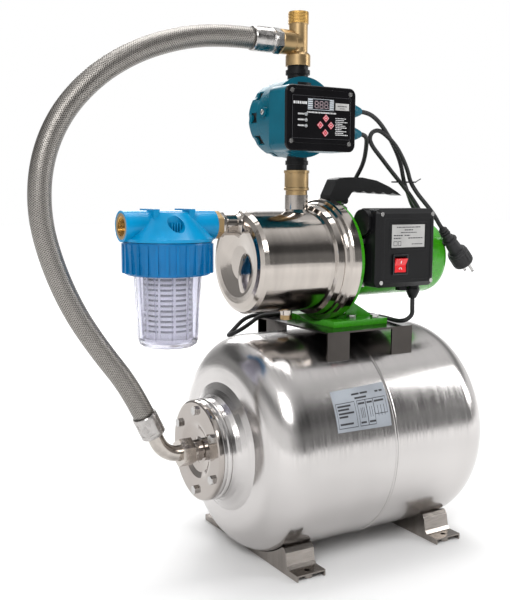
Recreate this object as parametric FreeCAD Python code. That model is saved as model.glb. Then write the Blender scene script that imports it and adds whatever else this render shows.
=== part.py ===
import FreeCAD, Part
import math
import os

# Domestic water booster set: a self-priming jet pump on a horizontal pressure tank, with an inlet
# filter, an electronic flow controller, a braided tank hose and two rubber leads.
# Millimetres. +Z is up, the floor is Z = 0, +X runs along the tank from the hose end to the motor
# end, and Y = 0 is the middle plane. The origin is the middle of the four floor holes.

# ---- driving dimensions -------------------------------------------------------------------------
TANK_R = 182.0            # outside radius of the tank
TANK_AXIS_Z = 188.0       # height of the tank's axis
TANK_HALF = 228.0         # tank seam to the end of a head
TANK_KNUCKLE = 60.0       # corner radius of a head
TANK_KNUCKLE_X = 160.0    # where the cylinder ends
TANK_WALL = 1.5
NECK_R = 55.0             # neck that carries the flange
FLANGE_R = 82.0
FLANGE_FACE_X = -271.0
FLANGE_PCD_R = 66.0

FOOT_X = 145.5            # middle of each foot
FOOT_WIDTH = 54.0
FOOT_REACH = 153.0        # middle plane to the foot's tip
FOOT_HOLE_Y = 140.0
FOOT_HOLE_R = 4.5
FOOT_TAB_Z = 10.0
FOOT_HUMP_Z = 42.0
SHEET = 2.5

PLATE_Z = 382.0           # top of the pump bracket
PLATE_HALF_X = 88.5
PLATE_HALF_Y = 108.0
PLATE_SHEET = 3.0
LEG_WIDTH = 44.0

PUMP_Z = 490.5            # pump and motor axis
CASING_R = 84.0
CASING_FRONT_X = -196.0
CASING_WALL = 2.0
CASING_FLANGE_R = 105.0
JOINT_X = -20.0           # where casing and motor bracket meet
MOTOR_R = 66.0
MOTOR_END_X = 209.0
SHAFT_R = 8.45
BEARING_BORE_R = 8.5      # 0.05 running clearance on the shaft

PIPE_R = 16.62            # outside of a G1 male thread
COLUMN_X = -80.0          # discharge, controller and tee stand on this axis
INLET_Z = 553.0           # suction port and filter ports

FILTER_X = -319.0
CONTROLLER_Z = 728.0

HOSE_D = 34.0
LEAD_D = 7.5

# Route of the braided hose, from the upper ferrule to the lower one, in the plane Y = 0.
HOSE_ROUTE = [(-170, 0, 849), (-230, 0, 849), (-302, 0, 836.5), (-373, 0, 810.5), (-436, 0, 770),
              (-487, 0, 714), (-516, 0, 647), (-521, 0, 573), (-504, 0, 502), (-473, 0, 430),
              (-432, 0, 367), (-385, 0, 306), (-362, 0, 259)]

# Route of the mains lead: gland, tie, bight on the motor, tie, loop, tie, plug.
MAINS_ROUTE = [(16, -45, 740), (33, -45, 740), (60, -41, 727), (87, -33, 706), (111, -26, 682),
               (130, -20, 656), (140, -16, 628), (163, -2, 606), (189, 15, 582), (197, 7.5, 568.5),
               (194, -8, 561), (183, -21, 565), (165, -23, 586), (146, -23.5, 606), (126, -23, 625), (100, -26, 646), (75, -30, 667), (55, -32, 684), (46.5, -33, 697),
               (51, -34, 709), (65, -35, 713), (82, -36, 704), (103, -36, 688), (122, -33, 667),
               (139, -28, 645), (151, -22, 625), (159, -32, 605), (166, -47, 587), (172, -62, 569),
               (178.2, -70, 551.6), (185, -70, 544)]
PLUG_AXIS = (6.8, 0.0, -7.6)

# Route of the motor lead: controller gland, behind the pump, a slack loop on the tank behind the
# bracket, along the bracket's rear edge, under the motor and up into the terminal box.
MOTOR_LEAD_ROUTE = [(16, -45, 703), (31, -45, 703), (45, -28, 685), (60, -2, 657), (63, 24, 631),
                    (60, 46, 601), (55, 66, 569), (49, 79, 534), (44, 84, 497), (40, 85, 460),
                    (34, 86, 424), (17, 87, 397), (-13, 86, 386.5), (-48, 85, 386.5),
                    (-76, 85, 386.5), (-103, 81, 386.5), (-128, 71, 376), (-155, 66, 365),
                    (-163, 85, 356), (-152, 101, 355), (-135, 107, 366), (-119, 106, 380),
                    (-98, 101, 387), (-74, 98, 386.5), (-48, 97, 386.5), (-12, 98, 386.5), (24, 97, 386.5),
                    (55, 97, 386.5), (76, 84, 386.5), (82, 58, 386.5), (83, 26, 386.5),
                    (85, -8, 386.5), (86, -38, 386.5), (80, -66, 386.5), (76, -88, 387),
                    (81, -101, 390), (92, -104, 399), (98, -96, 411), (98, -96, 427)]

ELBOW_DIR = (0.439556, 0.0, -0.898215)
ELBOW_R = 42.0

FOOT_BOLTS = [(8, -43), (8, 43), (46, -58), (46, 58)]
CASING_PCD_R = 93.0

CONTROLLER_BOX = (-148.0, -12.0, 671.0, 773.0)      # x and z limits
COVER_SCREWS = [(-137, 764), (-24, 763), (-138, 686), (-25, 684)]
GLAND_Z = [740.0, 703.0]
KEYS = {"up": (-73, 723), "left": (-84, 712), "right": (-63, 712), "down": (-74, 700)}
KEY_HALF = 6.0
LED_X = -111.0
LED_Z = [728.0, 719.0, 710.0]

BOX_X = (-1.0, 125.0)     # terminal box
BOX_Y = (-122.0, -70.0)
BOX_Z = (450.0, 580.0)
BOX_SCREWS = [(8, 571), (116, 571), (8, 459), (116, 459)]
BOX_SCREW_Y = -119.0

BOX_GLAND_Y = -96.0
CAP_R = 14.0              # capacitor
BULGE_R = 21.5
CAP_Y = -87.0
CAP_Z = 557.0
ROCKER_Z = 488.0
ROCKER_PIVOT_Y = -118.0
ROCKER_TILT = 11.0

FILTER_PORT_X = (-396.0, -241.0)
THREAD_BORE_R = 15.15     # bore of a G1 female thread
DRAIN_X = -98.0

TIE_BOX = (115.5, 160.5, -31.0, -8.0)               # x and y limits
TIE_Z = 625.0

X_AXIS = FreeCAD.Vector(1, 0, 0)
Y_AXIS = FreeCAD.Vector(0, 1, 0)
Z_AXIS = FreeCAD.Vector(0, 0, 1)


# ---- helpers ------------------------------------------------------------------------------------
def vec(x, y, z):
    return FreeCAD.Vector(x, y, z)


def rod(radius, start, direction, length):
    return Part.makeCylinder(radius, length, vec(*start), vec(*direction))


def tube(outer, inner, start, direction, length):
    return rod(outer, start, direction, length).cut(rod(inner, start, direction, length))


def cone(radius_1, radius_2, start, direction, length):
    return Part.makeCone(radius_1, radius_2, length, vec(*start), vec(*direction))


def block(x0, x1, y0, y1, z0, z1):
    return Part.makeBox(x1 - x0, y1 - y0, z1 - z0, vec(x0, y0, z0))


def prism(points, along):
    """Closed outline of 3-D points, extruded by a vector."""
    outline = [vec(*p) for p in points]
    return Part.Face(Part.makePolygon(outline + outline[:1])).extrude(vec(*along))


def hexagon(across_flats, start, direction, length):
    """Hexagonal bar with its first corner turned from the axis of the bar."""
    corner_r = across_flats / math.sqrt(3)
    axis = vec(*direction)
    side = Y_AXIS if abs(axis.dot(Z_AXIS)) > 0.9 else Z_AXIS
    other = axis.cross(side)
    corners = []
    for k in range(6):
        angle = math.radians(60 * k)
        corners.append(vec(*start) + side * (corner_r * math.cos(angle)) + other * (corner_r * math.sin(angle)))
    return Part.Face(Part.makePolygon(corners + corners[:1])).extrude(axis * length)


def turned(profile, origin, axis):
    """Revolve a closed outline of (along the axis, radius) pairs about the axis."""
    direction = vec(*axis).normalize()
    guide = X_AXIS if abs(direction.dot(Z_AXIS)) > 0.9 else Z_AXIS
    side = (guide - direction * guide.dot(direction)).normalize()
    base = vec(*origin)
    outline = [base + direction * along + side * radius for along, radius in profile]
    return Part.Face(Part.makePolygon(outline + outline[:1])).revolve(base, direction, 360)


def rounded_block(x0, x1, y0, y1, z0, z1, radius, direction):
    """Box whose four edges parallel to the direction are rounded."""
    box = block(x0, x1, y0, y1, z0, z1)
    along = vec(*direction)
    edges = [e for e in box.Edges if abs(e.tangentAt(e.FirstParameter).dot(along)) > 0.99]
    return box.makeFillet(radius, edges)


def bolt(radius, head_flats, head_height, length, seat, direction):
    """Hexagon bolt: the seat is under the head and the direction points out of the head."""
    out = vec(*direction)
    head = hexagon(head_flats, seat, direction, head_height)
    shank = Part.makeCylinder(radius, length, vec(*seat) - out * length, out)
    return head.fuse(shank)


def screw(radius, head_r, head_height, length, seat, direction):
    """Pan-head screw with a cross slot."""
    out = vec(*direction)
    head = Part.makeCylinder(head_r, head_height, vec(*seat), out)
    shank = Part.makeCylinder(radius, length, vec(*seat) - out * length, out)
    return head.fuse(shank)


def ring_of(count, first_degrees):
    return [math.radians(first_degrees + 360.0 * k / count) for k in range(count)]


def joined(solids):
    result = solids[0]
    for solid in solids[1:]:
        result = result.fuse(solid)
    return result.removeSplitter()


def cord_path(points):
    """Straight runs joined by tangent arcs; each arc takes 0.45 of its shorter run."""
    corners = [vec(*p) for p in points]
    edges, radii = [], []
    start = corners[0]
    for before, corner, after in zip(corners, corners[1:], corners[2:]):
        run_in, run_out = corner - before, after - corner
        reach = 0.45 * min(run_in.Length, run_out.Length)
        into = run_in.normalize()
        out = run_out.normalize()
        half_turn = into.getAngle(out) / 2
        radius = reach / math.tan(half_turn)
        radii.append(radius)
        arc_start = corner - into * reach
        arc_end = corner + out * reach
        inward = (out - into).normalize()
        arc_middle = corner + inward * (radius / math.cos(half_turn) - radius)
        edges.append(Part.LineSegment(start, arc_start).toShape())
        edges.append(Part.Arc(arc_start, arc_middle, arc_end).toShape())
        start = arc_end
    edges.append(Part.LineSegment(start, corners[-1]).toShape())
    return Part.Wire(edges), radii


def cord(name, points, diameter):
    path, radii = cord_path(points)
    first = vec(*points[0])
    heading = vec(*points[1]) - first
    section = Part.Wire(Part.makeCircle(diameter / 2, first, heading))
    solid = path.makePipeShell([section], True, False)
    expected = math.pi * diameter ** 2 / 4 * path.Length
    print("%s: length %.0f mm, tightest arc %.1f mm, volume ratio %.4f"
          % (name, path.Length, min(radii), solid.Volume / expected))
    print("   arc radii:", " ".join("%.0f" % r for r in radii))
    return solid


# ---- tank ---------------------------------------------------------------------------------------
def head_outline(inset, opening=0.0):
    """Wire edges of a head from the seam to the opening's edge, for the +X side, moved in by inset."""
    knuckle_r = TANK_KNUCKLE - inset
    centre_r = TANK_R - TANK_KNUCKLE
    step = TANK_HALF - TANK_KNUCKLE_X - TANK_KNUCKLE
    crown_r = (centre_r ** 2 + (TANK_HALF - TANK_KNUCKLE_X) ** 2 - TANK_KNUCKLE ** 2) / (2 * step)
    crown_x = TANK_HALF - crown_r
    slope = math.atan2(centre_r, TANK_KNUCKLE_X - crown_x)

    def on_knuckle(angle):
        return vec(TANK_KNUCKLE_X + knuckle_r * math.cos(angle), 0, centre_r + knuckle_r * math.sin(angle))

    def on_crown(angle):
        return vec(crown_x + (crown_r - inset) * math.cos(angle), 0, (crown_r - inset) * math.sin(angle))

    seam = vec(0, 0, TANK_R - inset)
    straight = Part.LineSegment(seam, on_knuckle(math.pi / 2)).toShape()
    knuckle = Part.Arc(on_knuckle(math.pi / 2), on_knuckle((math.pi / 2 + slope) / 2), on_knuckle(slope)).toShape()
    end = math.asin(opening / (crown_r - inset))
    crown = Part.Arc(on_knuckle(slope), on_crown((slope + end) / 2), on_crown(end)).toShape()
    return [straight, knuckle, crown], seam, on_crown(end)


def head_solid(inset):
    """Solid half tank, +X side, on the tank's axis through the origin."""
    edges, seam, apex = head_outline(inset)
    closing = [Part.LineSegment(apex, vec(0, 0, 0)).toShape(), Part.LineSegment(vec(0, 0, 0), seam).toShape()]
    return Part.Face(Part.Wire(edges + closing)).revolve(vec(0, 0, 0), X_AXIS, 360)


def seam_lip():
    """Rolled lip beside the welded seam, for the +X side."""
    return turned([(0.0, TANK_R - TANK_WALL), (3.2, TANK_R - TANK_WALL), (3.2, TANK_R + 0.1), (2.4, TANK_R + 1.3),
                   (0.8, TANK_R + 1.5), (0.0, TANK_R + 0.3)], (0, 0, 0), (1, 0, 0))


def tank_shell_right():
    shell = head_solid(0).cut(head_solid(TANK_WALL)).fuse(seam_lip())
    shell = shell.cut(rod(9, (TANK_HALF - 12, 0, 0), (1, 0, 0), 20))
    shell.translate(vec(0, 0, TANK_AXIS_Z))
    return shell


def tank_shell_left():
    """Head drawn out into a neck with two rolled ridges, made as one outline turned about the axis."""
    outer, outer_seam, outer_end = head_outline(0, FLANGE_R + 24)
    inner, inner_seam, inner_end = head_outline(TANK_WALL, FLANGE_R + 22)
    neck = [(228, FLANGE_R + 13), (234, FLANGE_R + 5), (241, FLANGE_R), (246.5, FLANGE_R - 1.5), (247.5, FLANGE_R),
            (250, FLANGE_R + 0.8), (252.5, FLANGE_R + 0.3), (254.5, FLANGE_R - 1.8), (257, FLANGE_R - 1.8),
            (258.5, FLANGE_R), (261.3, FLANGE_R - 0.3), (262.5, FLANGE_R - 1.5), (262.5, NECK_R - 2),
            (238, NECK_R - 2), (238, NECK_R), (254.5, NECK_R), (254.5, FLANGE_R - 9), (252, FLANGE_R - 6),
            (244, FLANGE_R - 3.5), (236, FLANGE_R + 2), (229.5, FLANGE_R + 9)]
    line = [outer_end] + [vec(x, 0, radius) for x, radius in neck] + [inner_end]
    edges = outer + [Part.LineSegment(a, b).toShape() for a, b in zip(line, line[1:])]
    edges += list(reversed(inner)) + [Part.LineSegment(inner_seam, outer_seam).toShape()]
    shell = Part.Face(Part.Wire(edges)).revolve(vec(0, 0, 0), X_AXIS, 360).fuse(seam_lip())
    for angle in ring_of(6, 30):
        shell = shell.cut(rod(4.2, (230, FLANGE_PCD_R * math.cos(angle), FLANGE_PCD_R * math.sin(angle)),
                              (1, 0, 0), 40))
    shell = shell.mirror(vec(0, 0, 0), X_AXIS)
    shell.translate(vec(0, 0, TANK_AXIS_Z))
    return shell


def tank_flange():
    """Dished cover with a rolled rim, a welded G1 nipple in the middle and six bolt holes."""
    face = FLANGE_FACE_X
    profile = [(face + 8, 12.5), (face - 17, 12.5), (face - 17, PIPE_R), (face - 8, PIPE_R),
               (face + 5.5, PIPE_R + 1), (face + 7, 22), (face + 5, 36), (face + 1, 45), (face, 50), (face, FLANGE_R - 4), (face + 1.2, FLANGE_R - 1.2),
               (face + 4, FLANGE_R), (face + 8, FLANGE_R), (face + 8, 58), (face + 8.5, 45), (face + 12, 36),
               (face + 12, 20)]
    plate = turned(profile, (0, 0, TANK_AXIS_Z), (1, 0, 0))
    for angle in ring_of(6, 30):
        plate = plate.cut(rod(4.2, (face - 5, FLANGE_PCD_R * math.cos(angle),
                                    TANK_AXIS_Z + FLANGE_PCD_R * math.sin(angle)), (1, 0, 0), 30))
    return plate


def tank_diaphragm():
    """Rubber bag whose bead sits in the neck behind the flange."""
    profile = [(-262.4, 52.5), (-259, 52.5), (-257, 50.5), (-222, 50.5), (-202, 100), (-160, 140), (-90, 155),
               (30, 155), (110, 130), (150, 80), (160, 0), (156, 0), (146, 78), (107, 126), (29, 151),
               (-89, 151), (-158, 136), (-198, 98), (-218, 46.5), (-262.4, 46.5)]
    return turned(profile, (0, 0, TANK_AXIS_Z), (1, 0, 0))



def foot(x_middle):
    """Pressed channel, open below, with a saddle under the tank and a spacer under each bolt hole."""
    x0, x1 = x_middle - FOOT_WIDTH / 2, x_middle + FOOT_WIDTH / 2

    def lump(drop, x_low, x_high):
        tip = FOOT_REACH + (1 if drop else 0)
        floor = -1.0 if drop else 0.0
        half = [(tip, floor), (tip, FOOT_TAB_Z - drop), (128 - drop, FOOT_TAB_Z - drop), (123.5 - drop, 15 - drop),
                (119.5 - drop, 35 - drop), (114.5 - drop, FOOT_HUMP_Z - drop)]
        outline = half + [(-y, z) for y, z in reversed(half)]
        solid = prism([(x_low, y, z) for y, z in outline], (x_high - x_low, 0, 0))
        return solid.cut(rod(TANK_R + drop, (x_low - 1, 0, TANK_AXIS_Z), (1, 0, 0), x_high - x_low + 2))

    body = lump(0, x0, x1).cut(lump(SHEET, x0 + SHEET, x1 - SHEET))
    for side in (1, -1):
        spacer = rod(9, (x_middle, side * FOOT_HOLE_Y, 0), (0, 0, 1), FOOT_TAB_Z - SHEET / 2)
        body = body.fuse(spacer).cut(rod(FOOT_HOLE_R, (x_middle, side * FOOT_HOLE_Y, -5), (0, 0, 1), 30))
    return body


def tank_feet():
    return Part.makeCompound([foot(-FOOT_X), foot(FOOT_X)])


def pump_bracket():
    """Flat plate on six short legs welded to the top of the tank."""
    top, low = PLATE_Z, PLATE_Z - 52
    hx, hy = PLATE_HALF_X, PLATE_HALF_Y
    plate = block(-hx, hx, -hy, hy, top - PLATE_SHEET, top)
    legs = []
    for side in (1, -1):
        y0, y1 = sorted((side * hy, side * (hy - PLATE_SHEET)))
        legs.append(block(-hx, -hx + LEG_WIDTH, y0, y1, low, top))
        legs.append(block(hx - LEG_WIDTH, hx, y0, y1, low, top))
    legs.append(block(-hx, -hx + PLATE_SHEET, 16, 78, low, top))
    legs.append(block(hx - PLATE_SHEET, hx, 16, 78, low, top))
    body = joined([plate] + legs).cut(rod(TANK_R, (-200, 0, TANK_AXIS_Z), (1, 0, 0), 400))
    for x, y in FOOT_BOLTS:
        body = body.cut(rod(4.2, (x, y, top - 10), (0, 0, 1), 20))
    slot = block(-68, -48, 60, 68, top - 10, top + 5)
    for x in (-68, -48):
        slot = slot.fuse(rod(4, (x, 64, top - 10), (0, 0, 1), 15))
    return body.cut(slot)


def air_valve():
    profile = [(221, 2), (221, 8.9), (228.1, 8.9), (228.1, 12), (230.5, 12), (230.5, 4), (245, 4), (245, 2)]
    return turned(profile, (0, 0, TANK_AXIS_Z), (1, 0, 0))


def air_valve_cap():
    profile = [(231, 4.3), (231, 8.5), (232, 9), (248, 9), (251, 7), (251, 0), (247.5, 0), (247.5, 4.3)]
    return turned(profile, (0, 0, TANK_AXIS_Z), (1, 0, 0))


def hex_bolts():
    """The M8 bolts: tank flange, casing flange and motor foot."""
    bolts = []
    for angle in ring_of(6, 30):
        seat = (FLANGE_FACE_X, FLANGE_PCD_R * math.cos(angle), TANK_AXIS_Z + FLANGE_PCD_R * math.sin(angle))
        bolts.append(bolt(4, 13, 5.3, 16, seat, (-1, 0, 0)))
    for angle in ring_of(8, 22.5):
        seat = (JOINT_X + 10, CASING_PCD_R * math.cos(angle), PUMP_Z + CASING_PCD_R * math.sin(angle))
        bolts.append(bolt(4, 13, 5.3, 16, seat, (1, 0, 0)))
    for x, y in FOOT_BOLTS:
        bolts.append(bolt(4, 13, 5.3, 16, (x, y, PLATE_Z + 10), (0, 0, 1)))
    return Part.makeCompound(bolts)


# ---- hose ---------------------------------------------------------------------------------------
def ferrule(start, direction):
    """Crimped sleeve, 38 long, with eight press marks round it; the direction lies in the XZ plane."""
    sleeve = turned([(0, 12.5), (0, 18.4), (1.5, 19.4), (5, 19.7), (33.5, 19.7), (35, 19.2), (36, 19.7), (37, 19.4),
                     (38, 18), (38, 12.5)], (0, 0, 0), (1, 0, 0))
    for angle in ring_of(8, 22.5):
        mark = block(8, 30, -3.4, 3.4, 18.9, 25)
        mark.rotate(vec(0, 0, 0), X_AXIS, math.degrees(angle))
        sleeve = sleeve.cut(mark)
    sleeve.rotate(vec(0, 0, 0), Y_AXIS, -math.degrees(math.atan2(direction[2], direction[0])))
    sleeve.translate(vec(*start))
    return sleeve


def hose_ferrules():
    upper = ferrule((HOSE_ROUTE[0][0], 0, HOSE_ROUTE[0][2]), (1, 0, 0))
    lower = ferrule(HOSE_ROUTE[-1], ELBOW_DIR)
    return Part.makeCompound([upper, lower])


def hose_fitting_top():
    """Hexagon between the upper ferrule and the tee, with its tail inside the tee's branch."""
    axis_z = HOSE_ROUTE[0][2]
    body = hexagon(36, (-128, 0, axis_z), (1, 0, 0), 10).fuse(rod(15, (-132, 0, axis_z), (1, 0, 0), 5))
    body = body.fuse(rod(12.9, (-118, 0, axis_z), (1, 0, 0), 8))
    return body.cut(rod(10, (-133, 0, axis_z), (1, 0, 0), 30))


def hose_elbow():
    """Bent steel tube from the lower ferrule to the swivel nut, with a collar inside the nut."""
    heading = vec(*ELBOW_DIR)
    start = vec(*HOSE_ROUTE[-1]) + heading * 38
    straight = (start.z - TANK_AXIS_Z - ELBOW_R * (1 - heading.x)) / -heading.z
    arc_start = start + heading * straight
    centre = arc_start + vec(-heading.z, 0, heading.x) * ELBOW_R
    half_turn = math.acos(heading.x) / 2
    arc_middle = centre - vec(math.sin(half_turn), 0, math.cos(half_turn)) * ELBOW_R
    arc_end = vec(centre.x, 0, TANK_AXIS_Z)
    tail_end = vec(FLANGE_FACE_X - 17.3, 0, TANK_AXIS_Z)
    path = Part.Wire([Part.makeLine(start, arc_start), Part.Arc(arc_start, arc_middle, arc_end).toShape(),
                      Part.makeLine(arc_end, tail_end)])

    def swept(radius):
        return path.makePipeShell([Part.Wire(Part.makeCircle(radius, start, heading))], True, False)

    collar = tube(16.2, 11, (tail_end.x - 4.7, 0, TANK_AXIS_Z), (1, 0, 0), 4.7)
    return swept(12.5).cut(swept(10)).fuse(collar)


def hose_swivel_nut():
    """Free-turning hexagon nut over the flange nipple."""
    x_open = FLANGE_FACE_X - 9
    nut = hexagon(40, (x_open - 22, 0, TANK_AXIS_Z), (1, 0, 0), 22)
    nut = nut.cut(rod(PIPE_R + 0.06, (x_open - 16.5, 0, TANK_AXIS_Z), (1, 0, 0), 20))
    return nut.cut(rod(12.9, (x_open - 25, 0, TANK_AXIS_Z), (1, 0, 0), 20))


# ---- column: discharge, controller and tee ------------------------------------------------------
def column(profile):
    return turned(profile, (COLUMN_X, 0, 0), (0, 0, 1))


def outlet_tee():
    body = column([(812, 17.3), (812, 20.5), (829, 20.5), (832, 18), (834, 15.6), (879, 15.6), (879, PIPE_R),
                   (898.5, PIPE_R), (898.5, 12), (834, 12), (828, 16.7), (813, 16.7)])
    axis_z = HOSE_ROUTE[0][2]
    branch = turned([(0, 0), (0, 17.5), (13, 17.5), (15, 19.7), (37, 19.7), (38, 18.9), (38, 0)], (COLUMN_X, 0, axis_z), (-1, 0, 0))
    body = body.fuse(branch)
    body = body.cut(rod(12, (COLUMN_X, 0, 828), (0, 0, 1), 80))
    body = body.cut(rod(13, (COLUMN_X - 25, 0, axis_z), (-1, 0, 0), 20))
    return body.cut(rod(11, (COLUMN_X, 0, axis_z), (-1, 0, 0), 30))


def delivery_nipple():
    return column([(585, 13), (585, 16.6), (601, 16.6), (601, 18.2), (608.5, 18.2), (609, 21), (613, 21),
                   (614, 20.1), (637, 20.1), (637.5, 21.3), (642, 21.3), (642, 16.7), (627, 16.7), (627, 13)])


def flow_tube():
    return column([(628, 12.5), (628, 16.6), (642, 16.6), (642, 17.2), (651, 17.2), (651, 19.2), (658, 19.2),
                   (658, 17.2), (672, 17.2), (672, 24), (784, 24), (784, 17.2), (798, 17.2), (798, 20.2), (805, 20.2),
                   (805, 17.2), (812, 17.2), (812, 16.6), (827, 16.6), (827, 12.5), (768, 12.5), (760, 19),
                   (700, 19), (692, 12.5)])


def check_plunger():
    """Flow-switch plunger: a disc over the seat with a guide stem."""
    return column([(690, 0), (690, 12), (692.3, 12), (700.2, 18.3), (704, 18.3), (706, 6), (735, 6), (735, 0)])


def round_shell(y0, y1, outer, inner):
    return tube(outer, inner, (COLUMN_X, y0, CONTROLLER_Z), (0, 1, 0), y1 - y0)


def controller_body():
    """Round housing around the flow tube, with the square electronics box in front."""
    box_x0, box_x1, box_z0, box_z1 = CONTROLLER_BOX
    box = rounded_block(box_x0, box_x1, -66, -20, box_z0, box_z1, 12, (0, 1, 0))
    pocket = rounded_block(box_x0 + 3, box_x1 - 3, -70, -27, box_z0 + 3, box_z1 - 3, 9, (0, 1, 0))
    can = rod(65.5, (COLUMN_X, -20, CONTROLLER_Z), (0, 1, 0), 35)
    hollow = rod(61.5, (COLUMN_X, -14, CONTROLLER_Z), (0, 1, 0), 40)
    sleeve = rod(28, (COLUMN_X, 0, 600), (0, 0, 1), 250).common(rod(63, (COLUMN_X, -18, CONTROLLER_Z), (0, 1, 0), 33))
    body = box.cut(pocket).fuse(can.cut(hollow)).fuse(sleeve)
    for x, z in COVER_SCREWS:
        post = rod(5, (x, -66, z), (0, 1, 0), 42)
        body = body.fuse(post).cut(rod(1.8, (x, -67, z), (0, 1, 0), 20))
    body = body.cut(rod(24.1, (COLUMN_X, 0, 671.5), (0, 0, 1), 113))
    body = body.cut(rod(17.3, (COLUMN_X, 0, 600), (0, 0, 1), 250))
    for z in GLAND_Z:
        body = body.cut(rod(7.1, (box_x1 - 8, -45, z), (1, 0, 0), 20))
    # bleed screw boss on the side of the round housing
    boss = rod(8, (COLUMN_X - 70, -4, CONTROLLER_Z + 6), (1, 0, 0), 12)
    return body.fuse(boss).removeSplitter()


def controller_rear_cap():
    cap = rod(65.5, (COLUMN_X, 15, CONTROLLER_Z), (0, 1, 0), 8)
    cap = cap.fuse(rod(62.5, (COLUMN_X, 23, CONTROLLER_Z), (0, 1, 0), 30))
    cap = cap.fuse(cone(62.5, 60, (COLUMN_X, 53, CONTROLLER_Z), (0, 1, 0), 2))
    for angle in ring_of(10, 0):
        x, z = math.cos(angle), math.sin(angle)
        cap = cap.cut(rod(10, (COLUMN_X + 66 * x, 26, CONTROLLER_Z + 66 * z), (0, 1, 0), 20))
        cap = cap.cut(rod(14, (COLUMN_X + 74.5 * x, 45, CONTROLLER_Z + 74.5 * z), (0, 1, 0), 12))
    cap = cap.cut(rod(46, (COLUMN_X, 14, CONTROLLER_Z), (0, 1, 0), 37))
    cap = cap.cut(rod(24.2, (COLUMN_X, 0, 671.5), (0, 0, 1), 113))
    return cap.cut(rod(17.4, (COLUMN_X, 0, 600), (0, 0, 1), 250))


def diamond(x, z, half, y0, y1):
    corners = [(x + half, y0, z), (x, y0, z + half), (x - half, y0, z), (x, y0, z - half)]
    return prism(corners, (0, y1 - y0, 0))


def controller_cover():
    box_x0, box_x1, box_z0, box_z1 = CONTROLLER_BOX
    cover = rounded_block(box_x0, box_x1, -70, -66, box_z0, box_z1, 12, (0, 1, 0))
    cover = cover.makeChamfer(1.4, [e for e in cover.Edges if all(abs(v.Point.y + 70) < 0.01 for v in e.Vertexes)])
    cover = cover.fuse(rounded_block(box_x0 + 14, box_x1 - 14, -71.2, -69, box_z0 + 12, box_z1 - 6, 5, (0, 1, 0)))
    cover = cover.cut(block(-108.3, -56.7, -80, -60, 734.7, 753.3))
    for x, z in KEYS.values():
        cover = cover.cut(diamond(x, z, KEY_HALF + 0.35, -80, -60))
    for x, z in COVER_SCREWS:
        cover = cover.cut(rod(2.1, (x, -80, z), (0, 1, 0), 20))
        cover = cover.cut(rod(4.2, (x, -80, z), (0, 1, 0), 11.5))
    for z in LED_Z:
        cover = cover.cut(rod(1.3, (LED_X, -80, z), (0, 1, 0), 20))
    return cover.removeSplitter()


def display_window():
    return block(-108, -57, -71, -68.5, 735, 753)


def control_board():
    """Circuit board with the display module, the relay and the three lamps."""
    board = block(-130, -33, -58, -56.4, 680, 764)
    display = block(-106, -59, -67.5, -58, 736, 752)
    relay = block(-60, -36, -56.4, -40, 690, 712)
    parts = [board, display, relay]
    for z in LED_Z:
        parts.append(rod(1.1, (LED_X, -70.5, z), (0, 1, 0), 12.5))
    return joined(parts)


def key(name):
    """Diamond key with a wider foot behind the cover."""
    x, z = KEYS[name]
    return diamond(x, z, KEY_HALF, -72.3, -64.5).fuse(diamond(x, z, KEY_HALF + 0.9, -65.6, -64.5))


def gland(start, direction, scale):
    """Cable gland: threaded stub, fluted collar and domed nut."""
    profile = [(-8, 0), (-8, 7), (0, 7), (0, 10.5), (6, 10.5), (6, 11.5), (9, 12), (15, 11), (22, 8.5), (28, 6), (28, 0)]
    body = turned([(a if a <= 0 else a * scale, r) for a, r in profile], start, direction)
    return body


def controller_glands():
    return Part.makeCompound([gland((CONTROLLER_BOX[1], -45, z), (1, 0, 0), 1.0) for z in GLAND_Z])


def cover_screws():
    """Pan-head screws of the controller cover and of the terminal cover."""
    screws = [screw(1.7, 3.6, 1.9, 19, (x, -68.5, z), (0, -1, 0)) for x, z in COVER_SCREWS]
    screws += [screw(1.7, 3.6, 1.9, 19, (x, BOX_SCREW_Y, z), (0, -1, 0)) for x, z in BOX_SCREWS]
    return Part.makeCompound(screws)


# ---- filter -------------------------------------------------------------------------------------
def upright(profile):
    return turned(profile, (FILTER_X, 0, 0), (0, 0, 1))


def filter_head():
    """Head with two brass-lined ports, a skirt for the ring nut and two cross bosses on top."""
    body = upright([(524, 0), (524, 52.5), (505, 52.5), (505, 62), (529.5, 62), (529.5, 70), (534, 71), (538, 67),
                    (571, 36), (574, 33), (574, 0)])
    body = body.fuse(rod(23.8, (FILTER_PORT_X[0], 0, INLET_Z), (1, 0, 0), FILTER_PORT_X[1] - FILTER_PORT_X[0]))
    for x in (FILTER_X - 30, FILTER_X + 30):
        body = body.fuse(block(x - 5, x + 5, -26, 26, 560, 579))
    body = body.fuse(block(FILTER_X - 30, FILTER_X + 30, -5, 5, 565, 576))
    for x, step in ((FILTER_PORT_X[0], 1), (FILTER_PORT_X[1], -1)):
        body = body.cut(rod(20, (x - step, 0, INLET_Z), (step, 0, 0), 23))
    body = body.cut(rod(13, (FILTER_PORT_X[0] + 10, 0, INLET_Z), (1, 0, 0), 28))
    body = body.cut(rod(5, (FILTER_X - 44, 0, 500), (0, 0, 1), INLET_Z - 500))
    body = body.cut(rod(13, (FILTER_X - 8, 0, INLET_Z), (1, 0, 0), 70))
    body = body.cut(rod(11, (FILTER_X, 0, 500), (0, 0, 1), INLET_Z - 500))
    # oval recess on the front of the dome, with four stiffening ribs inside
    body = body.cut(rod(12.5, (FILTER_X - 8, -72, 556.5), (0, 1, 0), 35))
    for k in range(4):
        x = FILTER_X - 14 + 4.5 * k
        body = body.fuse(block(x - 0.7, x + 0.7, -46, -36, 541, 559))
    return body.removeSplitter()


def filter_inserts():
    left = tube(20, THREAD_BORE_R, (FILTER_PORT_X[0], 0, INLET_Z), (1, 0, 0), 22)
    right = tube(20, THREAD_BORE_R, (FILTER_PORT_X[1], 0, INLET_Z), (-1, 0, 0), 22)
    return Part.makeCompound([left, right])


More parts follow.
